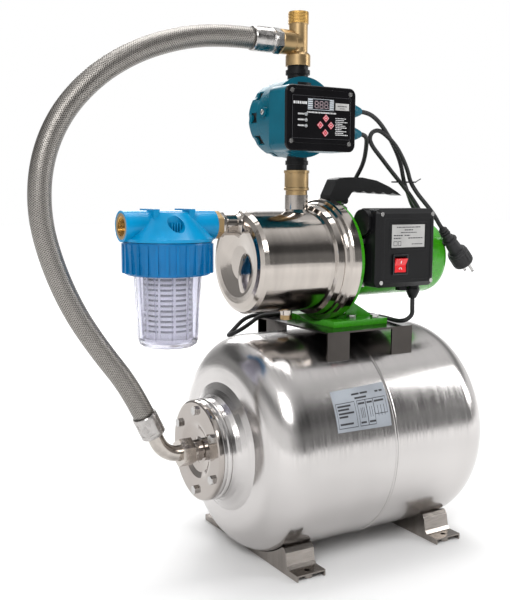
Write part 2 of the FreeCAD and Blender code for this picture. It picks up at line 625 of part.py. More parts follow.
def filter_ring_nut():
    """Ribbed nut that carries the bowl."""
    nut = upright([(478, 54), (478, 64), (481, 66.5), (526, 69.5), (528.5, 69), (528.5, 62.15), (484, 62.15),
                   (484, 54)])
    for angle in ring_of(28, 0):
        rib = block(65, 71, -2.2, 2.2, 481, 526)
        rib.rotate(vec(0, 0, 0), Z_AXIS, math.degrees(angle))
        rib.translate(vec(FILTER_X, 0, 0))
        nut = nut.fuse(rib)
    return nut.cut(rod(62.15, (FILTER_X, 0, 484), (0, 0, 1), 60)).removeSplitter()


def filter_bowl():
    return upright([(364, 0), (364, 30), (366, 40), (370, 45), (378, 47.5), (488, 53), (492, 61.5), (500, 61.5),
                    (500, 49), (486, 49), (380, 43.5), (373, 40), (368, 33), (368, 0)])


def filter_cartridge():
    """Slotted core between two end discs."""
    body = upright([(368.2, 0), (368.2, 20), (376, 20), (376, 41), (380, 41), (380, 34), (516, 34), (516, 38),
                    (523.6, 38), (523.6, 28), (384, 28), (384, 0)])
    for k in range(16):
        body = body.fuse(upright([(386 + 8 * k, 33), (386 + 8 * k, 37.5), (390 + 8 * k, 37.5), (390 + 8 * k, 33)]))
    return body.removeSplitter()


def seal_rings():
    return tube(61, 54, (FILTER_X, 0, 500.1), (0, 0, 1), 4.9)


def filter_nipple():
    x = FILTER_PORT_X[1]
    body = hexagon(38, (x, 0, INLET_Z), (1, 0, 0), 12)
    body = body.fuse(rod(THREAD_BORE_R - 0.05, (x - 17, 0, INLET_Z), (1, 0, 0), 17))
    body = body.fuse(rod(13.9, (x + 12, 0, INLET_Z), (1, 0, 0), 12))
    return body.cut(rod(10.5, (x - 20, 0, INLET_Z), (1, 0, 0), 50))


# ---- pump ---------------------------------------------------------------------------------------
def spindle(profile):
    return turned(profile, (0, 0, PUMP_Z), (1, 0, 0))


def pump_casing():
    """Deep-drawn casing: embossed front, plain barrel, stepped flange and three welded sockets."""
    outer = [(-189, 0), (-189, 28), (-192, 40), (-195.5, 56), (-196.5, 66), (-195, 74), (-190.5, 80.5), (-184, 84),
             (-64, 84), (-60, 85.5), (-57, 92), (-47, 94), (-45, 93), (-43, 96), (-39, 98.5), (-36.5, 103), (-34, 105),
             (-20, 105)]
    inner = [(-20, 82), (-66, 82), (-183, 82), (-189, 78.8), (-193, 73), (-194.4, 66), (-193.4, 56), (-190, 40),
             (-187, 28), (-187, 0)]
    body = spindle(outer + inner)
    # upright oval pressed into the front, below the suction tube
    ridge = turned([(-40, 0), (-30, 4.5), (-16, 7.5), (0, 8.5), (16, 7.5), (30, 4.5), (40, 0)],
                   (-189, -17, PUMP_Z - 22), (0, 0, 1))
    body = body.fuse(ridge.cut(spindle([(-188, 0), (-188, 29), (-191, 41), (-194.3, 56), (-195.4, 66),
                                        (-194, 74), (-170, 74), (-170, 0)])))
    body = body.fuse(rod(17, (-229, 0, INLET_Z), (1, 0, 0), 38))
    body = body.cut(rod(14, (-230, 0, INLET_Z), (1, 0, 0), 44))
    body = body.fuse(rod(19.3, (COLUMN_X, 0, PUMP_Z + 82.5), (0, 0, 1), 601 - PUMP_Z - 82.5))
    body = body.fuse(cone(24, 19.3, (COLUMN_X, 0, PUMP_Z + 80.3), (0, 0, 1), 6.5))
    body = body.cut(rod(16.7, (COLUMN_X, 0, 584), (0, 0, 1), 20))
    body = body.cut(rod(13, (COLUMN_X, 0, PUMP_Z + 70), (0, 0, 1), 60))
    body = body.fuse(rod(10, (DRAIN_X, 0, 399), (0, 0, 1), 9))
    body = body.cut(rod(5.1, (DRAIN_X, 0, 390), (0, 0, 1), 30))
    body = body.cut(spindle([(-150, 0), (-150, 81.9), (-30, 81.9), (-30, 0)]))
    for angle in ring_of(8, 22.5):
        body = body.cut(rod(4.2, (-28, CASING_PCD_R * math.cos(angle), PUMP_Z + CASING_PCD_R * math.sin(angle)),
                            (1, 0, 0), 12))
    return body.removeSplitter()


def drain_plug():
    return hexagon(17, (DRAIN_X, 0, 391), (0, 0, 1), 8).fuse(rod(5, (DRAIN_X, 0, 399), (0, 0, 1), 12))


def ejector():
    return spindle([(-182, 8), (-182, 34), (-177, 34), (-150, 18), (-112, 16), (-76, 26), (-72, 70), (-66, 74),
                    (-66, 24), (-74, 18), (-110, 9), (-150, 9), (-176, 8)])


def impeller():
    wheel = spindle([(-62, SHAFT_R), (-62, 13), (-50, 15), (-50, 62), (-46, 62), (-46, 15), (-42, 13),
                     (-42, SHAFT_R)])
    for angle in ring_of(6, 0):
        vane = block(-60, -50, -1.5, 1.5, 18, 60)
        vane.rotate(vec(0, 0, 30), X_AXIS, 28)
        vane.rotate(vec(0, 0, 0), X_AXIS, math.degrees(angle))
        vane.translate(vec(0, 0, PUMP_Z))
        wheel = wheel.fuse(vane)
    return wheel.removeSplitter()


def shaft_seal():
    return tube(15, SHAFT_R, (-40, 0, PUMP_Z), (1, 0, 0), 12)


# ---- motor --------------------------------------------------------------------------------------
def motor_bracket():
    """Cast front shield with the casing flange, the bearing seat and the foot."""
    body = spindle([(-20, 9.3), (-20, 100), (-10, 100), (-10, 61.9), (-4, 61.9), (-4, 26), (8, 26), (8, 20),
                    (-6, 20), (-6, 9.3)])
    foot_plate = block(-49, 64, -71, 71, PLATE_Z, PLATE_Z + 10)
    foot_plate = foot_plate.cut(rod(CASING_FLANGE_R + 0.6, (-90, 0, PUMP_Z), (1, 0, 0), 90 + JOINT_X))
    web = prism([(-20, -36, 436), (-8, -36, 432), (62, -36, 391), (-20, -36, 391)], (0, 72, 0))
    web = web.cut(rod(MOTOR_R, (-10, 0, PUMP_Z), (1, 0, 0), 100))
    lug = block(-20, 8, -8, 8, PUMP_Z + 82, PUMP_Z + 100)
    body = body.fuse(foot_plate).fuse(web)
    body = body.fuse(lug.cut(rod(MOTOR_R, (-10, 0, PUMP_Z), (1, 0, 0), 60)))
    for x, y in FOOT_BOLTS:
        body = body.cut(rod(4.2, (x, y, PLATE_Z - 5), (0, 0, 1), 20))
        body = body.cut(rod(9, (x, y, PLATE_Z + 10), (0, 0, 1), 30))
    for angle in ring_of(8, 22.5):
        body = body.cut(rod(4.2, (-22, CASING_PCD_R * math.cos(angle), PUMP_Z + CASING_PCD_R * math.sin(angle)),
                            (1, 0, 0), 20))
        body = body.cut(rod(8.2, (-10, CASING_PCD_R * math.cos(angle), PUMP_Z + CASING_PCD_R * math.sin(angle)),
                            (1, 0, 0), 12))
    return body.removeSplitter()


def motor_housing():
    """Motor barrel with the rear shield and the flat seat for the terminal box."""
    body = spindle([(-10, 62), (-10, MOTOR_R), (172, MOTOR_R), (172, 64), (184, 64), (184, 26), (190, 26), (190, 20),
                    (176, 20), (176, 10), (172, 10), (172, 62)])
    seat = block(-4, 118, BOX_Y[1], -40, 456, 541).cut(rod(64, (-20, 0, PUMP_Z), (1, 0, 0), 200))
    return body.fuse(seat).removeSplitter()


def stator():
    return spindle([(10, 40), (10, 55), (26, 55), (26, 61.9), (120, 61.9), (120, 55), (136, 55), (136, 40), (120, 40),
                    (120, 36), (26, 36), (26, 40)])


def motor_shaft():
    return rod(SHAFT_R, (-64, 0, PUMP_Z), (1, 0, 0), 267)


def rotor_core():
    return spindle([(24, SHAFT_R), (24, 20), (28, 35.4), (118, 35.4), (122, 20), (122, SHAFT_R)])


def bearings():
    front = tube(20, BEARING_BORE_R, (-6, 0, PUMP_Z), (1, 0, 0), 12)
    rear = tube(20, BEARING_BORE_R, (176, 0, PUMP_Z), (1, 0, 0), 12)
    return Part.makeCompound([front, rear])


def cooling_fan():
    wheel = tube(14, SHAFT_R, (192, 0, PUMP_Z), (1, 0, 0), 10)
    for angle in ring_of(7, 0):
        blade = block(192, 202, -1.2, 1.2, 12, 52)
        blade.rotate(vec(0, 0, 0), X_AXIS, math.degrees(angle))
        blade.translate(vec(0, 0, PUMP_Z))
        wheel = wheel.fuse(blade)
    return wheel.removeSplitter()


def fan_cover():
    """Round cap over the fan, with air slots in its end."""
    end = MOTOR_END_X
    cap = spindle([(172, 64), (172, MOTOR_R), (end - 12, MOTOR_R), (end - 6, MOTOR_R - 2), (end - 2, MOTOR_R - 6),
                   (end, MOTOR_R - 13), (end, 0), (end - 2, 0), (end - 2, MOTOR_R - 13), (end - 3.5, MOTOR_R - 7.5),
                   (end - 7, MOTOR_R - 3.8), (end - 12, 64)])
    for ring, count in ((22, 8), (34, 12), (46, 16)):
        for angle in ring_of(count, 0):
            slot = rod(3, (end - 5, ring * math.cos(angle), PUMP_Z + ring * math.sin(angle)), (1, 0, 0), 10)
            cap = cap.cut(slot)
    return cap


def carry_handle():
    """Open grip with finger scallops, screwed to the lug of the motor bracket."""
    outline = [(-20, 601), (-6, 628), (-1, 630), (20, 632), (48, 632), (80, 627), (108, 617), (128, 607), (137, 601),
               (124, 603), (117, 605.5), (110, 603), (102, 603.5), (95, 606.5), (88, 604), (80, 604.5), (73, 607.5),
               (66, 605), (58, 605.5), (51, 608.5), (44, 606), (36, 606.5), (30, 608.5), (24, 604), (20, 598),
               (14, 590.6), (-20, 590.6)]
    grip = prism([(x, -15, z) for x, z in outline], (0, 30, 0))
    knob = rod(6, (15, -11, 592), (0, 1, 0), 22)
    return grip.fuse(knob).removeSplitter()


# ---- terminal box -------------------------------------------------------------------------------
def terminal_box():
    """Box on the motor's side with a round pocket for the capacitor along its top."""
    x0, x1 = BOX_X
    z0, z1 = BOX_Z
    front = BOX_Y[0] + 16
    body = rounded_block(x0, x1, front, BOX_Y[1], z0, z1, 10, (0, 1, 0))
    body = body.fuse(rod(BULGE_R, (-9.3, CAP_Y, CAP_Z), (1, 0, 0), 104))
    body = body.cut(rounded_block(x0 + 3, x1 - 3, front - 10, BOX_Y[1] - 3, z0 + 3, z1 - 3, 7, (0, 1, 0)))
    body = body.cut(rod(CAP_R + 0.8, (-6.3, CAP_Y, CAP_Z), (1, 0, 0), 98))
    body = body.cut(block(-40, 200, -140, front, 400, 620))
    for x, z in BOX_SCREWS:
        post = rod(6.5, (x, front, z), (0, 1, 0), 6.5 if z > CAP_Z else 33)
        body = body.fuse(post.common(block(x0, x1, front, BOX_Y[1], z0, z1)))
        body = body.cut(rod(1.8, (x, front - 1, z), (0, 1, 0), 20))
    for x in (98, 72):
        body = body.cut(rod(7.1, (x, BOX_GLAND_Y, z0 - 5), (0, 0, 1), 20))
    return body.removeSplitter()


def terminal_cover():
    """Lid with bevelled edges, a raised rating plate and the switch opening."""
    x0, x1 = BOX_X
    z0, z1 = BOX_Z
    y0, y1 = BOX_Y[0], BOX_Y[0] + 16
    lid = rounded_block(x0, x1, y0, y1, z0, z1, 10, (0, 1, 0))
    front_edges = [e for e in lid.Edges if all(abs(v.Point.y - y0) < 0.01 for v in e.Vertexes)]
    lid = lid.makeChamfer(8, front_edges)
    lid = lid.cut(rounded_block(x0 + 10, x1 - 10, y0 + 3, y1 + 1, z0 + 10, z1 - 10, 5, (0, 1, 0)))
    lid = lid.cut(rounded_block(x0 + 13, x1 - 13, y0 - 1, y0 + 0.8, z0 + 13, z1 - 16, 4, (0, 1, 0)))
    lid = lid.fuse(block(26, 99, y0 + 0.4, y0 + 1, 515, 555))
    lid = lid.cut(block(32.5, 59.5, y0 - 2, y0 + 5, 473.5, 502.5))
    for x, z in BOX_SCREWS:
        lid = lid.cut(rod(2.1, (x, y0 - 1, z), (0, 1, 0), 20))
        lid = lid.cut(rod(4.4, (x, y0 - 1, z), (0, 1, 0), 1 + BOX_SCREW_Y - y0))
    return lid.removeSplitter()


def rocker_bezel():
    """Frame and housing of the switch."""
    x0, x1, z0, z1 = 30.0, 62.0, 471.0, 505.0
    face = BOX_Y[0] + 0.8
    frame = rounded_block(x0, x1, face - 2.6, face, z0, z1, 2, (0, 1, 0))
    frame = frame.fuse(block(x0 + 2.7, x1 - 2.7, face, face + 19, z0 + 2.7, z1 - 2.7))
    return frame.cut(block(x0 + 3.4, x1 - 3.4, face - 5, face + 16, z0 + 3.4, z1 - 3.4))


def power_rocker():
    """Red rocker, modelled level and then tilted to its rest position."""
    y = BOX_Y[0]
    outline = [(y - 3.5, 11.6), (y - 0.6, 0), (y - 3.5, -11.6), (y + 7, -10.5), (y + 9.5, 0), (y + 7, 10.5)]
    rocker = prism([(46 - 12.3, a, ROCKER_Z + b) for a, b in outline], (24.6, 0, 0))
    rocker.rotate(vec(46, ROCKER_PIVOT_Y, ROCKER_Z), X_AXIS, ROCKER_TILT)
    return rocker


def capacitor():
    return rod(CAP_R, (-5, CAP_Y, CAP_Z), (1, 0, 0), 88)


def terminal_gland():
    """Lead gland under the box and the blanking plug beside it."""
    lead = gland((98, BOX_GLAND_Y, BOX_Z[0]), (0, 0, -1), 23.0 / 28.0)
    blank = rod(7, (72, BOX_GLAND_Y, BOX_Z[0] - 8), (0, 0, 1), 16).fuse(
        hexagon(17, (72, BOX_GLAND_Y, BOX_Z[0] - 8), (0, 0, 1), 8))
    return Part.makeCompound([lead, blank])


# ---- leads --------------------------------------------------------------------------------------
def mains_plug():
    """Moulded two-pin plug with its strain relief; the pins are separate solids."""
    start = vec(*MAINS_ROUTE[-1])
    axis = vec(*PLUG_AXIS).normalize()
    body = turned([(0, 0), (0, 4.8), (3, 6), (20, 7.5), (22, 10), (40, 12), (54, 13), (60, 18.5), (84, 18.5),
                   (86, 17), (86, 0)], (start.x, start.y, start.z), (axis.x, axis.y, axis.z))
    pins = []
    for side in (-9.5, 9.5):
        base = start + axis * 78 + Y_AXIS * side
        pin = Part.makeCylinder(2.4, 27, base, axis)
        body = body.cut(pin)
        pins.append(pin)
    return Part.makeCompound([body] + pins)


def cord_tie():
    """Wire tie round the three strands of the mains lead."""
    x0, x1, y0, y1 = TIE_BOX
    ring = rounded_block(x0, x1, y0, y1, TIE_Z - 1.2, TIE_Z + 1.2, 6, (0, 0, 1))
    ring = ring.cut(rounded_block(x0 + 1.2, x1 - 1.2, y0 + 1.2, y1 - 1.2, TIE_Z - 3, TIE_Z + 3, 5, (0, 0, 1)))
    tail = rod(0.9, (x1 - 1.5, y0 + 5, TIE_Z), (0.8, -0.3, 0.5), 12)
    return ring.fuse(tail).removeSplitter()


# ---- write the parts ----------------------------------------------------------------------------
PARTS = {
    "tank_shell_left": tank_shell_left,
    "tank_shell_right": tank_shell_right,
    "tank_flange": tank_flange,
    "tank_diaphragm": tank_diaphragm,
    "tank_feet": tank_feet,
    "pump_bracket": pump_bracket,
    "air_valve": air_valve,
    "air_valve_cap": air_valve_cap,
    "hex_bolts": hex_bolts,
    "hose": lambda: cord("hose", HOSE_ROUTE, HOSE_D),
    "hose_ferrules": hose_ferrules,
    "hose_fitting_top": hose_fitting_top,
    "hose_elbow": hose_elbow,
    "hose_swivel_nut": hose_swivel_nut,
    "outlet_tee": outlet_tee,
    "delivery_nipple": delivery_nipple,
    "flow_tube": flow_tube,
    "check_plunger": check_plunger,
    "controller_body": controller_body,
    "controller_rear_cap": controller_rear_cap,
    "controller_cover": controller_cover,
    "display_window": display_window,
    "control_board": control_board,
    "key_up": lambda: key("up"),
    "key_down": lambda: key("down"),
    "key_left": lambda: key("left"),
    "key_right": lambda: key("right"),
    "controller_glands": controller_glands,
    "cover_screws": cover_screws,
    "filter_nipple": filter_nipple,
    "filter_head": filter_head,
    "filter_inserts": filter_inserts,
    "filter_bowl": filter_bowl,
    "filter_ring_nut": filter_ring_nut,
    "filter_cartridge": filter_cartridge,
    "seal_rings": seal_rings,
    "pump_casing": pump_casing,
    "ejector": ejector,
    "impeller": impeller,
    "shaft_seal": shaft_seal,
    "drain_plug": drain_plug,
    "motor_bracket": motor_bracket,
    "motor_housing": motor_housing,
    "stator": stator,
    "motor_shaft": motor_shaft,
    "rotor_core": rotor_core,
    "bearings": bearings,
    "cooling_fan": cooling_fan,
    "fan_cover": fan_cover,
    "carry_handle": carry_handle,
    "terminal_box": terminal_box,
    "terminal_cover": terminal_cover,
    "power_rocker": power_rocker,
    "rocker_bezel": rocker_bezel,
    "capacitor": capacitor,
    "terminal_gland": terminal_gland,
    "mains_lead": lambda: cord("mains lead", MAINS_ROUTE, LEAD_D),
    "mains_plug": mains_plug,
    "cord_tie": cord_tie,
    "motor_lead": lambda: cord("motor lead", MOTOR_LEAD_ROUTE, LEAD_D),
}

os.makedirs("parts", exist_ok=True)
for name, make in PARTS.items():
    shape = make()
    box = shape.BoundBox
    print("%-20s solids %d valid %s volume %.1f cm3 size %.1f %.1f %.1f"
          % (name, len(shape.Solids), shape.isValid(), shape.Volume / 1000, box.XLength, box.YLength, box.ZLength))
    shape.exportStep("parts/" + name + ".step")
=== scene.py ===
import bmesh
import bpy
import math
from mathutils import Matrix, Vector


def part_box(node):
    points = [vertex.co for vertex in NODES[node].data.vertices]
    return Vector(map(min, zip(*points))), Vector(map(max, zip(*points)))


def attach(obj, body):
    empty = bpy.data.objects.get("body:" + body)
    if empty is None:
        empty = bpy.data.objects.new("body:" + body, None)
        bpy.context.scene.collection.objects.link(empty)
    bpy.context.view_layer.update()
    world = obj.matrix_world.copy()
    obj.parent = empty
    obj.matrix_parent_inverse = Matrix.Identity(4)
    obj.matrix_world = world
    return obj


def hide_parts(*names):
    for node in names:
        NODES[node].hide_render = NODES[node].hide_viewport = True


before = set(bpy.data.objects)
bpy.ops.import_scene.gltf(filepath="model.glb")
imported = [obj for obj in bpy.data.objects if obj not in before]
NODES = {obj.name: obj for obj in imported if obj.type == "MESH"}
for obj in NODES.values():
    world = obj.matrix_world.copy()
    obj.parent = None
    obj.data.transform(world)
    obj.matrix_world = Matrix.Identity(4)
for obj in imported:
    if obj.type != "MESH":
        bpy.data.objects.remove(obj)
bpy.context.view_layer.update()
MM = 0.001

# ---- camera -------------------------------------------------------------------------------------
CAMERA_AT = (-0.8948, -1.2135, 0.6037)
CAMERA_YAW = 31.193       # degrees from +Y towards +X
CAMERA_PITCH = 7.066      # degrees down
CAMERA_ROLL = 0.341
CAMERA_LENS = 51.7        # mm, on a sensor of 36 mm


def add_camera():
    yaw, pitch = math.radians(CAMERA_YAW), math.radians(CAMERA_PITCH)
    forward = Vector((math.sin(yaw) * math.cos(pitch), math.cos(yaw) * math.cos(pitch), -math.sin(pitch)))
    turn = forward.to_track_quat("-Z", "Y").to_matrix().to_4x4()
    data = bpy.data.cameras.new("camera")
    data.lens = CAMERA_LENS
    data.sensor_width = 36
    data.sensor_height = 36
    data.sensor_fit = "AUTO"
    data.clip_end = 50
    camera = bpy.data.objects.new("camera", data)
    roll = Matrix.Rotation(math.radians(CAMERA_ROLL), 4, "Z")
    camera.matrix_world = Matrix.Translation(CAMERA_AT) @ turn @ roll
    bpy.context.scene.collection.objects.link(camera)
    bpy.context.scene.camera = camera


add_camera()


# ---- mesh helpers -------------------------------------------------------------------------------
def new_mesh(name, verts, faces, uvs=None):
    """Mesh object from vertices in metres; uvs is one pair per face corner."""
    mesh = bpy.data.meshes.new(name)
    mesh.from_pydata([tuple(v) for v in verts], [], faces)
    if uvs:
        layer = mesh.uv_layers.new(name="uv")
        for loop, uv in zip(layer.data, uvs):
            loop.uv = uv
    mesh.update()
    obj = bpy.data.objects.new(name, mesh)
    bpy.context.scene.collection.objects.link(obj)
    mesh.shade_smooth()
    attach(obj, "base")
    return obj


def curve_points(points):
    """Points along a NURBS spline of order 3 through the route's control points, in metres."""
    data = bpy.data.curves.new("route", "CURVE")
    data.dimensions = "3D"
    add_spline(data, points)
    data.resolution_u = 16
    holder = bpy.data.objects.new("route", data)
    bpy.context.scene.collection.objects.link(holder)
    bpy.context.view_layer.update()
    line = bpy.data.meshes.new_from_object(holder.evaluated_get(bpy.context.evaluated_depsgraph_get()))
    found = [v.co.copy() for v in line.vertices]
    bpy.data.objects.remove(holder)
    return found


def add_spline(data, points):
    spline = data.splines.new("NURBS")
    spline.points.add(len(points) - 1)
    for slot, point in zip(spline.points, points):
        slot.co = (point[0] * MM, point[1] * MM, point[2] * MM, 1)
    spline.order_u = 3
    spline.use_endpoint_u = True
    spline.use_smooth = True


def tube_along(name, line, radius, sides):
    """Mesh tube round a line of points, with u as metres along it and v once round it."""
    verts, faces, uvs = [], [], []
    frames = []
    guide = Vector((0, 1, 0))
    for k, point in enumerate(line):
        ahead = (line[min(k + 1, len(line) - 1)] - line[max(k - 1, 0)]).normalized()
        side = (guide - ahead * guide.dot(ahead)).normalized()
        frames.append((point, side, ahead.cross(side)))
        guide = side
    run = [0.0]
    for a, b in zip(line, line[1:]):
        run.append(run[-1] + (b - a).length)
    for point, side, other in frames:
        for j in range(sides):
            angle = 2 * math.pi * j / sides
            verts.append(point + (side * math.cos(angle) + other * math.sin(angle)) * radius)
    for k in range(len(line) - 1):
        for j in range(sides):
            n = (j + 1) % sides
            faces.append((k * sides + j, k * sides + n, (k + 1) * sides + n, (k + 1) * sides + j))
            uvs += [(run[k], j / sides), (run[k], (j + 1) / sides), (run[k + 1], (j + 1) / sides),
                    (run[k + 1], j / sides)]
    ends = [tuple(range(sides))[::-1], tuple(range((len(line) - 1) * sides, len(line) * sides))]
    for end in ends:
        faces.append(end)
        uvs += [(0.0, 0.0)] * sides
    return new_mesh(name, verts, faces, uvs)


# ---- materials ----------------------------------------------------------------------------------
class Shader:
    """A material and the few nodes that every finish here is made of."""

    def __init__(self, name, colour, metallic=0.0, roughness=0.5):
        self.material = bpy.data.materials.new(name)
        self.material.use_nodes = True
        self.nodes = self.material.node_tree.nodes
        self.links = self.material.node_tree.links
        self.bsdf = self.nodes["Principled BSDF"]
        self.bsdf.inputs["Base Color"].default_value = (*colour, 1)
        self.bsdf.inputs["Metallic"].default_value = metallic
        self.bsdf.inputs["Roughness"].default_value = roughness
        self.bsdf.inputs["Specular IOR Level"].default_value = 0.4
        self.coords = self.nodes.new("ShaderNodeTexCoord")
        self.bumps = None
        self.soft = None

    def place(self, scale):
        mapping = self.nodes.new("ShaderNodeMapping")
        mapping.inputs["Scale"].default_value = scale
        self.links.new(self.coords.outputs["Object"], mapping.inputs["Vector"])
        return mapping.outputs["Vector"]

    def noise(self, scale, detail=4.0, stretch=(1, 1, 1)):
        node = self.nodes.new("ShaderNodeTexNoise")
        node.inputs["Scale"].default_value = scale
        node.inputs["Detail"].default_value = detail
        self.links.new(self.place(stretch), node.inputs["Vector"])
        return node.outputs["Fac"]

    def cells(self, scale):
        node = self.nodes.new("ShaderNodeTexVoronoi")
        node.inputs["Scale"].default_value = scale
        self.links.new(self.place((1, 1, 1)), node.inputs["Vector"])
        return node.outputs["Distance"]

    def ramp(self, value, *stops):
        node = self.nodes.new("ShaderNodeValToRGB")
        elements = node.color_ramp.elements
        while len(elements) < len(stops):
            elements.new(0.5)
        for element, (place, colour) in zip(elements, stops):
            element.position = place
            element.color = (*colour, 1)
        self.links.new(value, node.inputs["Fac"])
        return node.outputs["Color"]

    def span(self, value, low, high, start=0.3, end=0.7):
        node = self.nodes.new("ShaderNodeMapRange")
        node.inputs["From Min"].default_value = start
        node.inputs["From Max"].default_value = end
        node.inputs["To Min"].default_value = low
        node.inputs["To Max"].default_value = high
        self.links.new(value, node.inputs["Value"])
        return node.outputs["Result"]

    def round_edges(self, radius):
        """Softens hard edges in the shading."""
        node = self.nodes.new("ShaderNodeBevel")
        node.samples = 4
        node.inputs["Radius"].default_value = radius
        self.soft = node.outputs["Normal"]
        self.bumps = self.soft
        self.links.new(self.soft, self.bsdf.inputs["Normal"])
        return self

    def worn(self, colour, edge_colour, amount=1.0):
        """Mixes in edge_colour where an edge turns sharply."""
        geometry = self.nodes.new("ShaderNodeNewGeometry")
        dot = self.nodes.new("ShaderNodeVectorMath")
        dot.operation = "DOT_PRODUCT"
        self.links.new(self.soft, dot.inputs[0])
        self.links.new(geometry.outputs["Normal"], dot.inputs[1])
        mask = self.span(dot.outputs["Value"], amount, 0.0, 0.80, 0.985)
        mix = self.nodes.new("ShaderNodeMix")
        mix.data_type = "RGBA"
        self.links.new(mask, mix.inputs[0])
        self.links.new(colour, mix.inputs[6])
        mix.inputs[7].default_value = (*edge_colour, 1)
        return mix.outputs[2]

    def colour(self, output):
        self.links.new(output, self.bsdf.inputs["Base Color"])
        return self

    def roughness(self, output):
        self.links.new(output, self.bsdf.inputs["Roughness"])
        return self

    def bump(self, height, strength, distance):
        node = self.nodes.new("ShaderNodeBump")
        node.inputs["Strength"].default_value = strength
        node.inputs["Distance"].default_value = distance
        self.links.new(height, node.inputs["Height"])
        if self.bumps:
            self.links.new(self.bumps, node.inputs["Normal"])
        self.bumps = node.outputs["Normal"]
        self.links.new(self.bumps, self.bsdf.inputs["Normal"])
        return self

    def set(self, **values):
        for name, value in values.items():
            self.bsdf.inputs[name.replace("_", " ")].default_value = value
        return self


def tinted(colour, factor):
    return tuple(min(1.0, c * factor) for c in colour)


def polished_steel(name, colour, rough, brush, axis, strength=0.06, streak=0.10, cloud_scale=6.0):
    """Polished stainless sheet: brushing lines run round the given axis, with soft cloudy streaks."""
    s = Shader(name, colour, 1.0, rough)
    along = [1.0, 1.0, 1.0]
    along[axis] = 40.0
    lines = s.noise(brush, 3.0, tuple(along))
    bands = [0.6, 0.6, 0.6]
    bands[axis] = 5.0
    broad = s.noise(cloud_scale, 3.0, tuple(bands))
    s.colour(s.ramp(broad, (0.28, tinted(colour, 1 - streak)), (0.72, tinted(colour, 1 + streak * 0.6))))
    s.roughness(s.span(lines, rough * 0.7, rough * 1.4))
    s.bump(lines, strength, 0.0004)
    s.bump(s.noise(cloud_scale * 1.3, 2.0), 0.3, 0.0016)
    return s.material


def cast_metal(name, colour, rough=0.45, grain=900.0, depth=0.25):
    """Blasted or cast metal with a fine grain and brighter edges."""
    s = Shader(name, colour, 1.0, rough).round_edges(0.0006)
    fine = s.noise(grain, 4.0)
    cloud = s.noise(45.0, 4.0)
    tone = s.ramp(cloud, (0.3, tinted(colour, 0.78)), (0.75, tinted(colour, 1.12)))
    s.colour(s.worn(tone, tinted(colour, 1.5), 0.7))
    s.roughness(s.span(cloud, rough * 0.8, rough * 1.3))
    s.bump(fine, depth, 0.0003)
    return s.material


def plated(name, colour, rough=0.22, dark=0.8):
    """Bright plated or turned metal with faint stains."""
    s = Shader(name, colour, 1.0, rough).round_edges(0.0004)
    cloud = s.noise(90.0, 4.0)
    s.colour(s.ramp(cloud, (0.3, tinted(colour, dark)), (0.7, tinted(colour, 1.08))))
    s.roughness(s.span(cloud, rough * 0.7, rough * 1.5))
    s.bump(s.noise(600.0, 2.0), 0.08, 0.0002)
    return s.material


def plastic(name, colour, rough=0.42, grain=1400.0, depth=0.12, coat=0.0, edge=1.6, edge_add=0.0, shine=0.4):
    """Moulded plastic: fine spark texture, cloudy tone and rubbed edges."""
    s = Shader(name, colour, 0.0, rough).round_edges(0.0007)
    cloud = s.noise(25.0, 4.0)
    fine = s.cells(grain)
    tone = s.ramp(cloud, (0.3, tinted(colour, 0.86)), (0.7, tinted(colour, 1.12)))
    s.colour(s.worn(tone, tuple(min(1.0, c * edge + edge_add) for c in colour), 0.8))
    s.roughness(s.span(cloud, rough * 0.85, rough * 1.2))
    s.bump(fine, depth, 0.0003)
    s.set(Coat_Weight=coat, Coat_Roughness=0.15)
    s.bsdf.inputs["Specular IOR Level"].default_value = shine
    return s.material


def paint(name, colour, rough=0.28):
    """Glossy paint over a casting: orange peel, uneven tone and edges rubbed lighter."""
    s = Shader(name, colour, 0.0, rough).round_edges(0.0012)
    cloud = s.noise(9.0, 5.0)
    tone = s.ramp(cloud, (0.3, tinted(colour, 0.82)), (0.7, tinted(colour, 1.15)))
    s.colour(s.worn(tone, tinted(colour, 1.7), 0.8))
    s.roughness(s.span(s.noise(60.0, 3.0), rough * 0.8, rough * 1.3))
    s.bump(s.noise(260.0, 2.0), 0.16, 0.0006)
    s.bump(s.noise(40.0, 3.0), 0.10, 0.0012)
    s.set(Coat_Weight=0.35, Coat_Roughness=0.12)
    return s.material


def rubber(name, colour, rough=0.55):
    s = Shader(name, colour, 0.0, rough)
    cloud = s.noise(30.0, 3.0)
    s.colour(s.ramp(cloud, (0.3, tinted(colour, 0.75)), (0.7, tinted(colour, 1.35))))
    s.roughness(s.span(cloud, rough * 0.9, rough * 1.15))
    s.bump(s.noise(2200.0, 2.0), 0.2, 0.0002)
    return s.material


